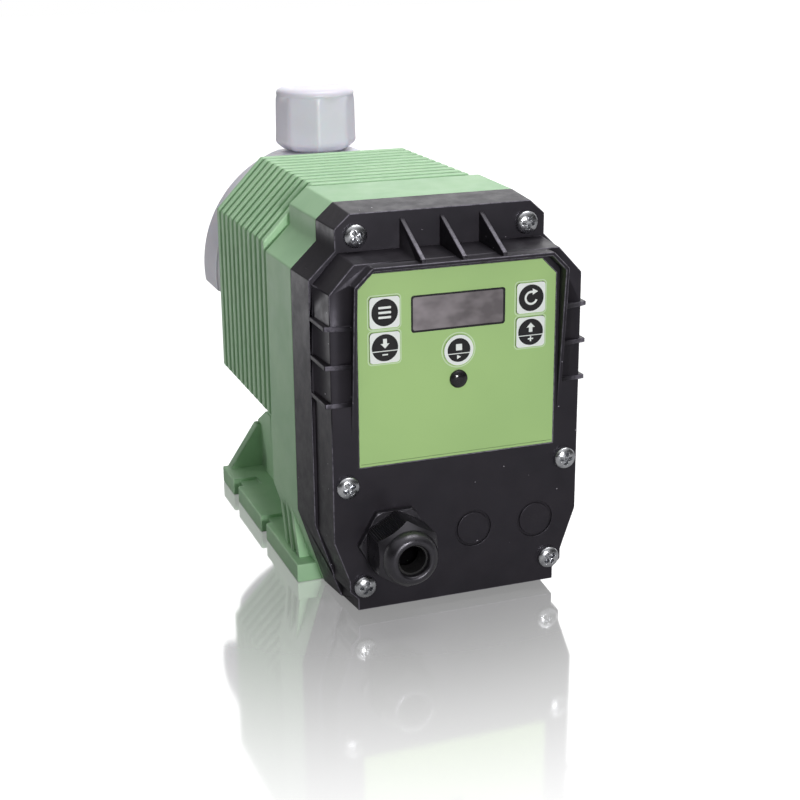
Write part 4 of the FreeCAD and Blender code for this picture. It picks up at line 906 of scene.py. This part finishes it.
@dataclass
class CoverScrews:
    """Six stainless pan head screws with a cross recess."""

    head_height: float = 3.4
    head_side: float = 1.3
    dome_share: float = 0.985
    arm_length: float = 2.9
    arm_start: float = 2.1
    arm_width: float = 0.62
    arm_taper: float = 0.1
    wall_in: float = 0.22
    wall_out: float = 0.1
    recess_depth: float = 1.9
    middle_depth: float = 1.15
    depth_lost: float = 0.25
    row_power: float = 0.85
    shank_radius: float = 2.5
    shank_gap: float = 0.1
    first_turn: float = 0.5
    next_turn: float = 2.4
    rows: int = 40
    columns: int = 120

    def head(self, radius: float, turn: float) -> Surface:
        """Make one head, facing -Y with its seat at nought.

        The top is a dome over a disc: height times the square root of one less a share of the
        radius squared. The recess takes away a depth where a point lies within the width of either
        arm of a cross, fading over its edges, and more towards the middle.

        Args:
            radius: Radius of the head.
            turn: Angle of the cross, in radians.

        Returns:
            The closed head with the seat of its shank.
        """
        rise = self.head_height - self.head_side
        reach = radius * np.linspace(0, 1, self.rows)[1:, None] ** self.row_power
        angle = round_steps(self.columns)
        side, other = np.abs(reach * np.cos(angle - turn)), np.abs(reach * np.sin(angle - turn))
        off_arm, on_arm = np.minimum(side, other), np.maximum(side, other)
        width = self.arm_width + self.arm_taper * on_arm
        inside = 1 - step(off_arm, width - self.wall_in, width + self.wall_out)
        inside = inside * (1 - step(on_arm, self.arm_start, self.arm_length))
        share = self.middle_depth - self.depth_lost * on_arm / self.arm_length
        depth = self.recess_depth * inside * share
        dome = rise * np.sqrt(1 - (reach / radius) ** 2 * self.dome_share)
        top = about_axis(-(self.head_side + dome - depth), reach, angle)
        wall = np.array([[-self.head_side / 2, radius], [0.0, radius], [0.0, self.shank_radius]])
        return swept(np.concatenate([top, about_axis(wall[:, :1], wall[:, 1:], angle)]))

    def build(self) -> None:
        """Put a screw in each of the six places."""
        screws = []
        for number, box in enumerate(solid_boxes("cover_screws")):
            length = box.size[1] - self.head_height
            shank = turned([(self.shank_gap, self.shank_radius), (length, self.shank_radius)], 32)
            head = self.head(box.size[0] / 2, self.first_turn + self.next_turn * number)
            across, _, up = box.middle
            screws.append((head + shank).moved(across, box.low[1] + self.head_height, up))
        piece("pan_head_screws", joined(screws), STEEL, replaces=("cover_screws",))


@dataclass
class CableGland:
    """The gland's body with its six sided flange, and its domed nut, knurled below a round rim.

    A step of the flange's chamfer is how far it lies behind the front, how much a cone takes off
    the corners there, and how much more goes all round.
    """

    cover_wall: float = 3.0
    flange: float = 3.0
    flange_flats: float = 28.0
    flange_turn: float = math.radians(30)
    corner_power: float = 60.0
    chamfer: tuple[Place, ...] = ((0.0, 0.9, 0.15), (0.12, 0.7, 0.0), (0.5, 0.0, 0.0))
    flange_edge: float = 0.15
    nut_gap: float = 0.3
    thread_radius: float = 10.0
    thread_pitch: float = 1.5
    thread_depth: float = 0.6
    thread_start: float = 0.8
    thread_end: float = 0.4
    tail_chamfer: float = 0.5
    tube_radius: float = 9.2
    body_columns: int = 144
    flats: float = 25.4
    knurls: int = 90
    knurl_depth: float = 0.55
    knurl_fade: float = 0.3
    knurl_start: float = 0.2
    knurl_full: float = 0.9
    columns_per_knurl: int = 6
    foot_radius: float = 13.0
    foot_rise: float = 0.4
    foot_top: float = 1.0
    cone: float = 8.9
    cone_radius: float = 14.9
    cone_rows: int = 26
    crease: float = 5.7
    crease_radius: float = 11.45
    swell: float = 0.45
    rim_radius: float = 11.7
    rim_rise: float = 5.2
    lip: float = 8.1
    mouth: float = 6.6
    land: float = 4.2
    land_edge: float = 0.3
    bore: float = 9.45

    def body(self, reach: float, tail: float) -> Surface:
        """Make the body along -Y from the cover's face: tube, six sided flange and threaded tail.

        Each ring is a circle or the flange's hexagon, cut by a cone in front. The thread is a wave
        along the tail.

        Args:
            reach: How far the tube stands out of the cover.
            tail: How far the tail reaches into it.

        Returns:
            The closed body with its bore.
        """
        angle = round_steps(self.body_columns)
        flange = polygon(angle, 6, self.flange_flats, self.corner_power, self.flange_turn)
        turns = np.arange(self.thread_start, tail - self.thread_end, self.thread_pitch / 6)
        wave = 0.5 - 0.5 * np.cos(2 * np.pi * turns / self.thread_pitch)
        rings = [
            (reach, self.mouth), (reach, self.tube_radius), (self.flange, self.tube_radius),
            *[
                (self.flange - behind, np.minimum(flange, flange.max() - cut) - all_round)
                for behind, cut, all_round in self.chamfer
            ],
            (self.flange_edge, flange), (0.0, flange - self.flange_edge), (0.0, self.thread_radius),
            *zip(-turns, self.thread_radius - self.thread_depth * wave),
            (-tail, self.thread_radius - self.tail_chamfer), (-tail, self.mouth),
        ]
        return turned([(-place, radius) for place, radius in rings], self.body_columns, Ends.LOOPED)

    def nut(self, length: float) -> Surface:
        """Make the nut along -Y from nought.

        Each ring's radius is the smaller of a hexagon with soft corners and a round outline that
        falls in a straight cone to a crease, swells into the rim and turns over in a quarter of an
        ellipse. The knurls are rounded waves cut into what is left of the hexagon.

        Args:
            length: Length of the nut.

        Returns:
            The closed nut with its bore.
        """
        columns = self.knurls * self.columns_per_knurl
        angle = round_steps(columns)
        hexagon = polygon(angle, 6, self.flats, self.corner_power)
        wide = self.cone_radius
        foot = [(0.0, self.foot_radius), (self.foot_rise, wide), (self.foot_top, wide)]
        crease = (length - self.crease, self.crease_radius)
        cone = np.linspace((length - self.cone, wide), crease, self.cone_rows)
        swell = (length - self.crease + self.swell, self.rim_radius - self.swell)
        rim = (self.rim_rise, self.rim_radius - self.lip)
        rolled = self.lip - self.mouth
        outline = np.vstack([
            foot, cone, arc(swell, self.swell, 150, 90, 4),
            arc((length - self.rim_rise, self.lip), rim, 90, 0, 17),
            arc((length - rolled, self.lip), rolled, -10, -90, 8),
        ])
        place, dome = outline[:, :1], outline[:, 1:]
        wave = 0.5 - 0.5 * np.cos(angle * self.knurls)
        free = step(dome - hexagon, 0.0, self.knurl_fade)
        free = free * step(place, self.knurl_start, self.knurl_full)
        radius = np.minimum(hexagon, dome) - self.knurl_depth * wave * free
        land = length - self.land
        inside = [(-land, self.mouth), (self.land_edge - land, self.bore), (0.0, self.bore)]
        return turned([*zip(-place[:, 0], radius), *inside], columns, Ends.LOOPED)

    def build(self) -> None:
        """Set the body in the cover and the nut on it."""
        nut, body = node_box("gland_nut"), node_box("gland_body")
        across, _, up = nut.middle
        face = node_box("gland_locknut").low[1] - self.cover_wall
        shape = self.body(face - body.low[1], body.high[1] - face).moved(across, face, up)
        piece("gland_flange", shape, GLAND_BLACK, replaces=("gland_body",))
        back = face - self.flange - self.nut_gap
        shape = self.nut(back - nut.low[1]).moved(across, back, up)
        piece("knurled_dome_nut", shape, GLAND_BLACK, replaces=("gland_nut",))


@dataclass
class ValveCap:
    """A cap nut of eight soft facets with a drawn in foot and a round, crowned lid."""

    flats: float = 37.6
    corner: float = 40.0
    lid: float = 19.5
    crown: float = 3.4
    crown_swell: float = 0.75
    crown_flatness: float = 0.2
    crown_steps: int = 16
    turn: float = math.radians(10)
    bore: float = 13.1
    bore_depth: float = 22.7
    columns: int = 192

    def shell(self, height: float) -> Surface:
        """Make the cap along Y from nought.

        The facets' radius is a polygon with soft corners. The profile goes in at the foot, bulges a
        little above it, and blends from the facets into the lid's circle: each of its rows is a
        place, what the radius grows by, and the share of the circle. The lid is a flattened half
        ellipse: its radius falls with a small power of the cosine, and its height rises with nearly
        the sine.

        Args:
            height: Height of the cap.

        Returns:
            The closed cap, open below.
        """
        facets = polygon(round_steps(self.columns), 8, self.flats, self.corner, self.turn)
        facets = facets * (self.flats / 2 / facets.min())
        rim = height - self.crown
        rows = [
            (0.0, -3.7, 0.0), (0.2, -3.4, 0.0), (2.4, -0.7, 0.0), (3.0, -0.2, 0.0), (3.6, 0.1, 0.0),
            (4.4, 0.3, 0.0), (5.6, 0.25, 0.0), (8.5, 0.1, 0.0), (height * 0.5, 0.0, 0.0),
            (rim - 4.0, -0.15, 0.0), (rim - 2.4, -0.2, 0.12), (rim - 1.2, -0.25, 0.5),
            (rim - 0.4, -0.3, 0.85), (rim, 0.0, 1.0),
        ]
        sides = [(place, facets * (1 - share) + self.lid * share + grown) for place, grown, share in rows]
        turn = np.radians(np.linspace(4, 88, self.crown_steps))
        rise = self.crown * np.sin(turn) ** self.crown_swell
        reach = self.lid * np.cos(turn) ** self.crown_flatness
        inside = [(self.bore_depth, self.bore), (0.0, self.bore)]
        return turned([*inside, *sides, *zip(rim + rise, reach)], self.columns)

    def build(self) -> None:
        """Put one cap on the discharge valve, and one upside down on the suction valve."""
        for node, side in (("discharge_cap", 1), ("suction_cap", -1)):
            box = node_box(node)
            across, along, _ = box.middle
            foot = box.low[2] if side > 0 else box.high[2]
            cap = self.shell(box.size[2]).upright(side).moved(across, along, foot)
            piece(node + "_shell", cap, CAP_WHITE, replaces=(node,))


@dataclass
class HeadScrews:
    """Socket head screws that hold the dosing head."""

    socket: float = 4.0
    socket_depth: float = 2.5
    socket_chamfer: float = 0.25
    socket_edge: float = 0.2
    head_height: float = 5.0
    head_radius: float = 4.25
    head_chamfer: float = 0.5
    head_edge: float = 0.15
    shank_radius: float = 2.5
    columns: int = 48

    def screw(self, start: float, top: float) -> Surface:
        """Make one screw along Y, with a six sided socket.

        Args:
            start: Place of the shank's end.
            top: Place of the head's top.

        Returns:
            The closed screw.
        """
        hexagon = polygon(round_steps(self.columns), 6, self.socket)
        seat, radius = top - self.head_height, self.head_radius
        profile = [
            (start, self.shank_radius), (seat, self.shank_radius), (seat, radius),
            (top - self.head_chamfer, radius), (top - self.head_edge, radius - self.head_edge),
            (top, radius - self.head_chamfer), (top, hexagon + self.socket_chamfer),
            (top - self.socket_edge, hexagon), (top - self.socket_depth, hexagon),
        ]
        return turned(profile, self.columns)

    def build(self) -> None:
        """Put a screw in each place of the ring."""
        screws = [
            self.screw(box.low[1], box.high[1]).moved(box.middle[0], 0, box.middle[2])
            for box in solid_boxes("head_screws")
        ]
        piece("socket_head_screws", joined(screws), STEEL, replaces=("head_screws",))


class Sign(Enum):
    """The plain sign on each key."""

    BARS = "three bars"
    CYCLE = "an open ring with an arrowhead"
    DOWN = "a down arrow over a minus"
    UP = "an up arrow over a plus"
    RUN = "a square over a triangle"


@dataclass
class KeyPrint:
    """The print on one key: a pale outline, a white tile, a black disc and a white sign.

    The reaches of the fill and of the rim are measured outwards from the key's own edge.
    """

    node: str
    sign: Sign
    disc_radius: float = 5.6
    fill_reach: float = 0.7
    rim_inner: float = 0.375
    rim_outer: float = 0.775
    fill_inner: float = 0.08
    tile_inset: float = 0.05
    corner: float = 1.5
    rule: float = -1.4
    rule_width: float = 0.34
    layer: float = 0.05
    fill_layers: float = 0.6
    disc_layers: float = 2.0
    sign_layers: float = 2.6
    overlap_layers: float = 0.2
    sink: float = 0.1
    bar: tuple[float, float, float] = (5.4, 0.95, 0.3)
    bar_pitch: float = 2.0
    ring_outer: float = 3.0
    ring_inner: float = 2.1
    square: tuple[float, float, float] = (2.7, 2.7, 0.25)
    square_rise: float = 1.25
    minus: tuple[float, float, float] = (2.4, 0.6, 0.15)
    plus: tuple[float, float, float] = (0.6, 2.2, 0.15)
    lower: float = -2.9

    def outlines(self) -> list[np.ndarray]:
        """Draw the sign about the key's middle.

        Returns:
            The outlines of its filled shapes.
        """
        if self.sign is Sign.BARS:
            return [rounded_box(*self.bar, 16) + [0, self.bar_pitch * place] for place in (1, 0, -1)]
        if self.sign is Sign.CYCLE:
            outer = arc((0, 0), self.ring_outer, 60, 340, 28)
            inner = arc((0, 0), self.ring_inner, 340, 60, 28)
            return [np.vstack([outer, inner]), np.array([(0.6, 3.9), (0.6, 1.2), (3.0, 2.55)])]
        if self.sign is Sign.RUN:
            square = rounded_box(*self.square, 16) + [0, self.square_rise]
            return [square, np.array([(-0.85, -3.75), (-0.85, -1.95), (0.95, -2.85)]), self.divider()]
        shaft, head = 0.8, 1.9
        arrow = np.array([
            (-shaft, -1.9), (shaft, -1.9), (shaft, 0.1), (head, 0.1), (0, 2.1), (-head, 0.1), (-shaft, 0.1)
        ])
        minus = rounded_box(*self.minus, 16) + [0, self.lower]
        if self.sign is Sign.DOWN:
            return [arrow * [1, -1] + [0, 1.8], minus, self.divider()]
        return [arrow + [0, 1.9], minus, self.divider(), rounded_box(*self.plus, 16) + [0, self.lower]]

    def divider(self) -> np.ndarray:
        """Return the thin rule across the disc."""
        half = math.sqrt(self.disc_radius**2 - self.rule**2)
        low, high = self.rule - self.rule_width / 2, self.rule + self.rule_width / 2
        return np.array([(-half, low), (half, low), (half, high), (-half, high)])

    def outline(self, reach: float, corner: float) -> np.ndarray:
        """Return the key's outline at a reach from its middle: round for run, else a square."""
        return disc(reach) if self.sign is Sign.RUN else rounded_box(2 * reach, 2 * reach, corner)

    def frame_band(self, inner: float, outer: float, back: float, front: float) -> Surface:
        """Return a flat frame in the key's outline between two reaches, and two places along Y."""
        edges = self.outline(outer, self.corner + outer - inner), self.outline(inner, self.corner)
        return band(*edges, back, front)

    def build(self, plate: float) -> None:
        """Print the key, layer on layer, on the body that it moves with, and its frame on the plate.

        Args:
            plate: Place of the plate's face along Y.
        """
        box = node_box(self.node)
        across, _, up = box.middle
        face, half, layer = box.low[1], box.size[0] / 2, self.layer
        sunk, back = plate + self.sink, face + layer
        front = plate - self.fill_layers * layer
        fill = self.frame_band(half + self.fill_inner, half + self.fill_reach, sunk, front)
        rim = self.frame_band(half + self.rim_inner, half + self.rim_outer, sunk, plate - layer)
        tile = slab(self.outline(half - self.tile_inset, self.corner), back, face - layer)
        ink = slab(disc(self.disc_radius), back, face - self.disc_layers * layer)
        sign = joined([
            slab(outline, back, face - (self.sign_layers + self.overlap_layers * number) * layer)
            for number, outline in enumerate(self.outlines())
        ])
        button = self.node.replace("key_", "button_")
        for ending, shape, finish, slot, body in (
            ("_fill", fill, OVERLAY_GREEN, "overlay", "body"),
            ("_outline", rim, KEY_OUTLINE, "overlay", "body"),
            ("_tile", tile, KEY_WHITE, "key", button),
            ("_disc", ink, KEY_BLACK, "key", button),
            ("_sign", sign, KEY_WHITE, "key", button),
        ):
            piece(self.node + ending, shape.moved(across, 0, up), finish, body)


@dataclass
class OperatingPanel:
    """What is printed or set on the green plate."""

    frame_width: float = 0.45
    frame_lap: float = 0.35
    window_corner: float = 1.3
    corner_lap: float = 0.3
    line_inset: float = 1.1
    line_margin: float = 0.6
    line_width: float = 0.16
    line_corner: float = 0.05
    print_layer: float = 0.04
    sink: float = 0.1
    lens_edge: float = 0.3
    lens_shank: float = 0.79
    keys: tuple[KeyPrint, ...] = field(
        default_factory=lambda: (
            KeyPrint("key_set", Sign.BARS),
            KeyPrint("key_mode", Sign.CYCLE),
            KeyPrint("key_down", Sign.DOWN),
            KeyPrint("key_up", Sign.UP),
            KeyPrint("key_start", Sign.RUN, 5.0, fill_reach=1.1, rim_inner=0.55, rim_outer=1.0),
        )
    )

    def build(self) -> None:
        """Print the window's border and the fine line, then the keys, and set the lens."""
        plate, window = node_box("panel_overlay"), node_box("display_window")
        face = plate.low[1]
        width, _, height = window.size
        across, _, up = window.middle
        out, lap = 2 * self.frame_width, 2 * self.frame_lap
        outer = rounded_box(width + out, height + out, self.window_corner)
        inner = rounded_box(width - lap, height - lap, self.window_corner - self.corner_lap)
        border = band(outer, inner, face + self.sink, face - self.print_layer)
        piece("window_border", border.moved(across, 0, up), KEY_BLACK)
        length = plate.size[0] - 2 * self.line_margin
        outline = rounded_box(length, self.line_width, self.line_corner, 8)
        line = slab(outline, face + self.sink / 2, face - self.print_layer)
        piece("panel_edge_line", line.moved(0, 0, plate.low[2] + self.line_inset), FINE_LINE)
        for key in self.keys:
            key.build(face)
        self.build_lens(face)

    def build_lens(self, face: float) -> None:
        """Turn the lens: a shank, a small step and a dome that is a quarter of an ellipse.

        Args:
            face: Place of the plate's face along Y.
        """
        box = node_box("status_lens")
        across, _, up = box.middle
        radius, edge = box.size[0] / 2, face - self.lens_edge
        dome = arc((edge, 0), (box.low[1] - edge, radius), 90, 2, 15)
        shank = radius * self.lens_shank
        lens = turned([(box.high[1], shank), (face, shank), (face, radius), *dome], 48)
        piece("status_dome", lens.moved(across, 0, up), LENS_DARK, replaces=("status_lens",))


@dataclass
class SoftParts:
    """The return spring, and the diaphragm, which bends as the plunger moves."""

    travel: float = 1.25
    wire_radius: float = 0.65
    turns: int = 5
    turn_steps: int = 40
    wire_steps: int = 12
    bore: float = 2.0
    boss: float = 5.4
    boss_foot: float = 9.0
    boss_rise: float = 2.6
    web: float = 1.6
    hub: float = 12.0
    clamp: float = 20.0
    web_margin: float = 1.0
    web_rows: int = 10
    bead: float = 22.0
    bead_width: float = 2.0

    def build(self) -> None:
        """Make both in place of their nodes."""
        self.build_spring()
        self.build_diaphragm()

    def build_spring(self) -> None:
        """Wind round wire in a helix that runs to its end in the pole.

        Each point is at (reach cos t, place, reach sin t) for the turn t, where the reach and the
        place go round the wire's own circle, and the place rises evenly with the turn.
        """
        box = node_box("return_spring")
        across, _, up = box.middle
        wire = self.wire_radius
        start, end = box.low[1] + wire, box.high[1] - wire
        turn = np.linspace(0, 2 * np.pi * self.turns, self.turn_steps * self.turns + 1)[:, None]
        side = round_steps(self.wire_steps)
        place = start + (end - start) * turn / turn[-1] + wire * np.sin(side)
        reach = box.size[0] / 2 - wire + wire * np.cos(side)
        coil = swept(about_axis(place, reach, turn)).moved(across, 0, up)
        spring = piece("coiled_return_spring", coil, ROD_STEEL, replaces=("return_spring",))
        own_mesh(spring)

    def build_diaphragm(self) -> None:
        """Turn the disc, whose hub follows the plunger while its rim stays clamped.

        The weight falls from one at the hub to nought at the clamp with the distance from the axis,
        because the disc bends all round and not along a line.
        """
        box = node_box("diaphragm")
        up, rim = box.middle[2], box.size[2] / 2
        back, crown = box.low[1], box.high[1]
        bead = back + self.bead_width
        web = np.linspace(self.hub, self.clamp + self.web_margin, self.web_rows)
        front = [(crown, self.bore), (crown, self.boss), (back + self.boss_rise, self.boss_foot)]
        front += [(back + self.web, radius) for radius in web]
        edge = [(bead, self.bead), (bead, rim), (back, rim), (back, self.bead)]
        behind = [(back, radius) for radius in (*web[::-1], self.boss_foot, self.bore)]
        disc_shape = turned([*front, *edge, *behind]).moved(0, 0, up)
        skin = piece("bending_diaphragm", disc_shape, DIAPHRAGM, None, ("diaphragm",))
        outside, inside = (0, back * MM, (up + self.clamp) * MM), (0, back * MM, (up + self.hub) * MM)
        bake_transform(skin, "body", "plunger", start=outside, end=inside)
        points = np.array([vertex.co for vertex in skin.data.vertices]) / MM
        reach = np.hypot(points[:, 0], points[:, 2] - up)
        weight = step(-reach, -self.clamp, -self.hub)
        skin.data.attributes["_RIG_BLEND"].data.foreach_set("value", weight.astype(np.float32))


KEPT_NODES: dict[Finish, tuple[str, ...]] = {
    RUBBER: ("cover_gasket", "gland_seal", "discharge_seal", "suction_seal"),
    OVERLAY_GREEN: ("panel_overlay", "key_set", "key_down", "key_mode", "key_up", "key_start"),
    DISPLAY_CASE: ("lcd_module",),
    BOARD: ("control_board",),
    SWITCH: ("key_switches",),
    LENS_DARK: ("status_lamp",),
    TERMINAL: ("terminal_block",),
    COMPONENT: ("board_parts",),
    GLAND_BLACK: ("gland_locknut",),
    SOFT_IRON: ("solenoid_pot", "pole_core", "armature"),
    BOBBIN: ("coil_bobbin", "rod_bush", "end_stop"),
    COPPER: ("coil_winding",),
    BRASS: ("guide_tube",),
    STEEL: ("board_screws", "solenoid_screws"),
    ROD_STEEL: ("push_rod", "diaphragm_plate"),
    HEAD_WHITE: ("discharge_seat", "discharge_cage", "suction_seat", "suction_cage"),
    BALL: ("discharge_ball", "suction_ball"),
}


def dress_nodes() -> None:
    """Give the nodes that stay as they are their finishes."""
    half_width = node_box("display_window").size[0] / 2
    pane = SmokedPane("smoked_pane", paint("#8E878B"), paint("#5E585B"), half_width)
    for finish, nodes in {**KEPT_NODES, pane: ("display_window",)}.items():
        for node in nodes:
            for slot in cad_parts[node].material_slots:
                slot.material = made(finish)
            log.info("%s: node kept, in %s", node, finish.name)


# Stage


@dataclass(frozen=True)
class Lamp:
    """A soft square lamp: its place and width in millimetres, and its power in watts.

    The gloss is how much of the lamp mirrors show. It looks at the pump's middle.
    """

    name: str
    place: Place
    size: float
    power: float
    gloss: float = 1.0
    target: Place = (0.0, 0.0, 90.0)

    def build(self) -> None:
        """Hang the lamp."""
        data = bpy.data.lights.new(self.name, "AREA")
        data.size, data.energy, data.specular_factor = self.size * MM, self.power, self.gloss
        lamp = in_scene(self.name, data)
        lamp.location = Vector(self.place) * MM
        lamp.rotation_mode = "QUATERNION"
        aim = Vector(self.target) * MM - lamp.location
        lamp.rotation_quaternion = aim.to_track_quat("-Z", "Y")


@dataclass
class Studio:
    """Pale glossy floor, soft lamps and the camera at the photograph's place."""

    camera_place: Place = (-226.7, -656.2, 282.4)
    camera_turn: float = -20.24
    camera_rise: float = 17.93
    camera_roll: float = -0.47
    lens: float = 67.7
    sensor: float = 36.0
    floor_half: float = 4000.0
    floor_colour: Colour = (0.42, 0.42, 0.423)
    floor_polish: float = 0.07
    near_mirror: float = 0.7
    far_mirror: float = 0.03
    mirror_start: float = 100.0
    mirror_end: float = 340.0
    floor_glow: float = 0.8
    glow_start: float = 150.0
    glow_end: float = 700.0
    mirrored_glow: float = 0.12
    fill: float = 0.2
    dark_side: float = 0.05
    light_side: float = 1.8
    rear_light: tuple[float, float] = (0.5, 0.95)
    high_light: tuple[float, float] = (0.35, 0.95)
    rightward: float = 0.6
    rearward: float = 0.8
    lamps: tuple[Lamp, ...] = (
        Lamp("overhead_softbox", (240, 40, 1300), 800, 10.6),
        Lamp("front_softbox", (-60, -1500, 380), 220, 12.2),
        Lamp("rear_softbox", (-340, 330, 60), 150, 0.3, gloss=0.0),
    )

    def camera(self) -> None:
        """Stand the camera where the photograph was taken, as worked out from the part's corners."""
        angles = self.camera_turn, self.camera_rise, self.camera_roll
        turn, rise, roll = (math.radians(angle) for angle in angles)
        back = Vector((math.sin(turn) * math.cos(rise), -math.cos(turn) * math.cos(rise), math.sin(rise)))
        right = Vector((math.cos(turn), math.sin(turn), 0))
        up = back.cross(right)
        tilted_right = right * math.cos(roll) + up * math.sin(roll)
        tilted_up = up * math.cos(roll) - right * math.sin(roll)
        data = bpy.data.cameras.new("photo_camera")
        data.lens, data.sensor_width = self.lens, self.sensor
        data.clip_start, data.clip_end = 0.01, 50
        eye = in_scene("photo_camera", data)
        turned_to = Matrix((tilted_right, tilted_up, back)).transposed().to_4x4()
        eye.matrix_world = Matrix.Translation(Vector(self.camera_place) * MM) @ turned_to
        bpy.context.scene.camera = eye

    def floor(self) -> None:
        """Lay a white floor that mirrors the pump near its foot and less farther out."""
        half = self.floor_half * MM
        mesh = bpy.data.meshes.new("studio_floor")
        corners = [(-half, -half, 0), (half, -half, 0), (half, half, 0), (-half, half, 0)]
        mesh.from_pydata(corners, [], [(0, 1, 2, 3)])
        mesh.materials.append(self.floor_material())
        in_scene("studio_floor", mesh)

    def floor_material(self) -> bpy.types.Material:
        """Mix a white floor, lifted to white for the camera, with a mirror that fades.

        Returns:
            The material.
        """
        shade = Shading("studio_floor")
        shade.set(Base_Color=self.floor_colour, Roughness=0.9, Specular_IOR_Level=0.0)
        ray = shade.add("ShaderNodeLightPath")
        camera_ray = ray.outputs["Is Camera Ray"]
        mirrored = shade.maths("MULTIPLY", ray.outputs["Is Glossy Ray"], self.mirrored_glow)
        seen = shade.maths("MAXIMUM", camera_ray, mirrored)
        seen = shade.maths("MAXIMUM", seen, ray.outputs["Is Transmission Ray"])
        reach = shade.add("ShaderNodeVectorMath", operation="LENGTH")
        shade.feed(reach.inputs[0], shade.place)
        reach = reach.outputs["Value"]
        glow = shade.remap(reach, self.glow_start * MM, self.glow_end * MM, self.floor_glow, 1.0)
        shade.set(Emission_Color=(1.0, 1.0, 1.0), Emission_Strength=shade.maths("MULTIPLY", seen, glow))
        mirror = shade.fill(shade.add("ShaderNodeBsdfGlossy"), Roughness=self.floor_polish)
        near, far = self.mirror_start * MM, self.mirror_end * MM
        fade = shade.remap(reach, near, far, self.near_mirror, self.far_mirror)
        mix = shade.add("ShaderNodeMixShader")
        inputs = shade.maths("MULTIPLY", fade, camera_ray), shade.surface.outputs[0], mirror.outputs[0]
        for socket, value in zip(mix.inputs, inputs):
            shade.feed(socket, value)
        shade.fill(shade.output, Surface=mix.outputs[0])
        return shade.material

    def world(self) -> None:
        """Light the room evenly, and show white behind the pump and above it in what mirrors it.

        What a mirror sees towards the camera's side and on the left is the dark part of the studio:
        the level rises with the ray's direction to the right and the rear, and with its height.
        """
        world = bpy.data.worlds.new("studio")
        bpy.context.scene.world = world
        world.use_nodes = True
        room = Nodes(world.node_tree, "Generated")
        ray = room.add("ShaderNodeLightPath")
        rightward = room.maths("MULTIPLY", room.along(0), self.rightward)
        rearward = room.maths("MULTIPLY", room.along(1), self.rearward)
        behind = room.maths("ADD", rightward, rearward)
        behind = room.remap(behind, *self.rear_light, self.dark_side, self.light_side)
        above = room.remap(room.along(2), *self.high_light, self.dark_side, 1.0)
        mirrored = room.maths("SUBTRACT", room.maths("MAXIMUM", behind, above), self.fill)
        mirrored = room.maths("MULTIPLY", mirrored, ray.outputs["Is Glossy Ray"])
        seen = room.maths("MAXIMUM", ray.outputs["Is Camera Ray"], ray.outputs["Is Transmission Ray"])
        seen = room.maths("MULTIPLY", seen, 1.0 - self.fill)
        level = room.maths("ADD", room.maths("ADD", seen, mirrored), self.fill)
        room.fill(room.tree.nodes["Background"], Color=(1.0, 1.0, 1.0), Strength=level)

    def build(self) -> None:
        """Set the view, the floor, the lamps and the plain colour transform."""
        self.camera()
        self.floor()
        self.world()
        for lamp in self.lamps:
            lamp.build()
        bpy.context.scene.view_settings.view_transform = "Standard"


def main() -> None:
    """Build the stage and the pieces."""
    logging.basicConfig(level=logging.INFO, format="%(message)s")
    assemblies = Mouldings, CoverScrews, CableGland, ValveCap, HeadScrews, OperatingPanel, SoftParts
    for assembly in (Studio, *assemblies):
        assembly().build()
    dress_nodes()


if __name__ == "__main__":
    main()
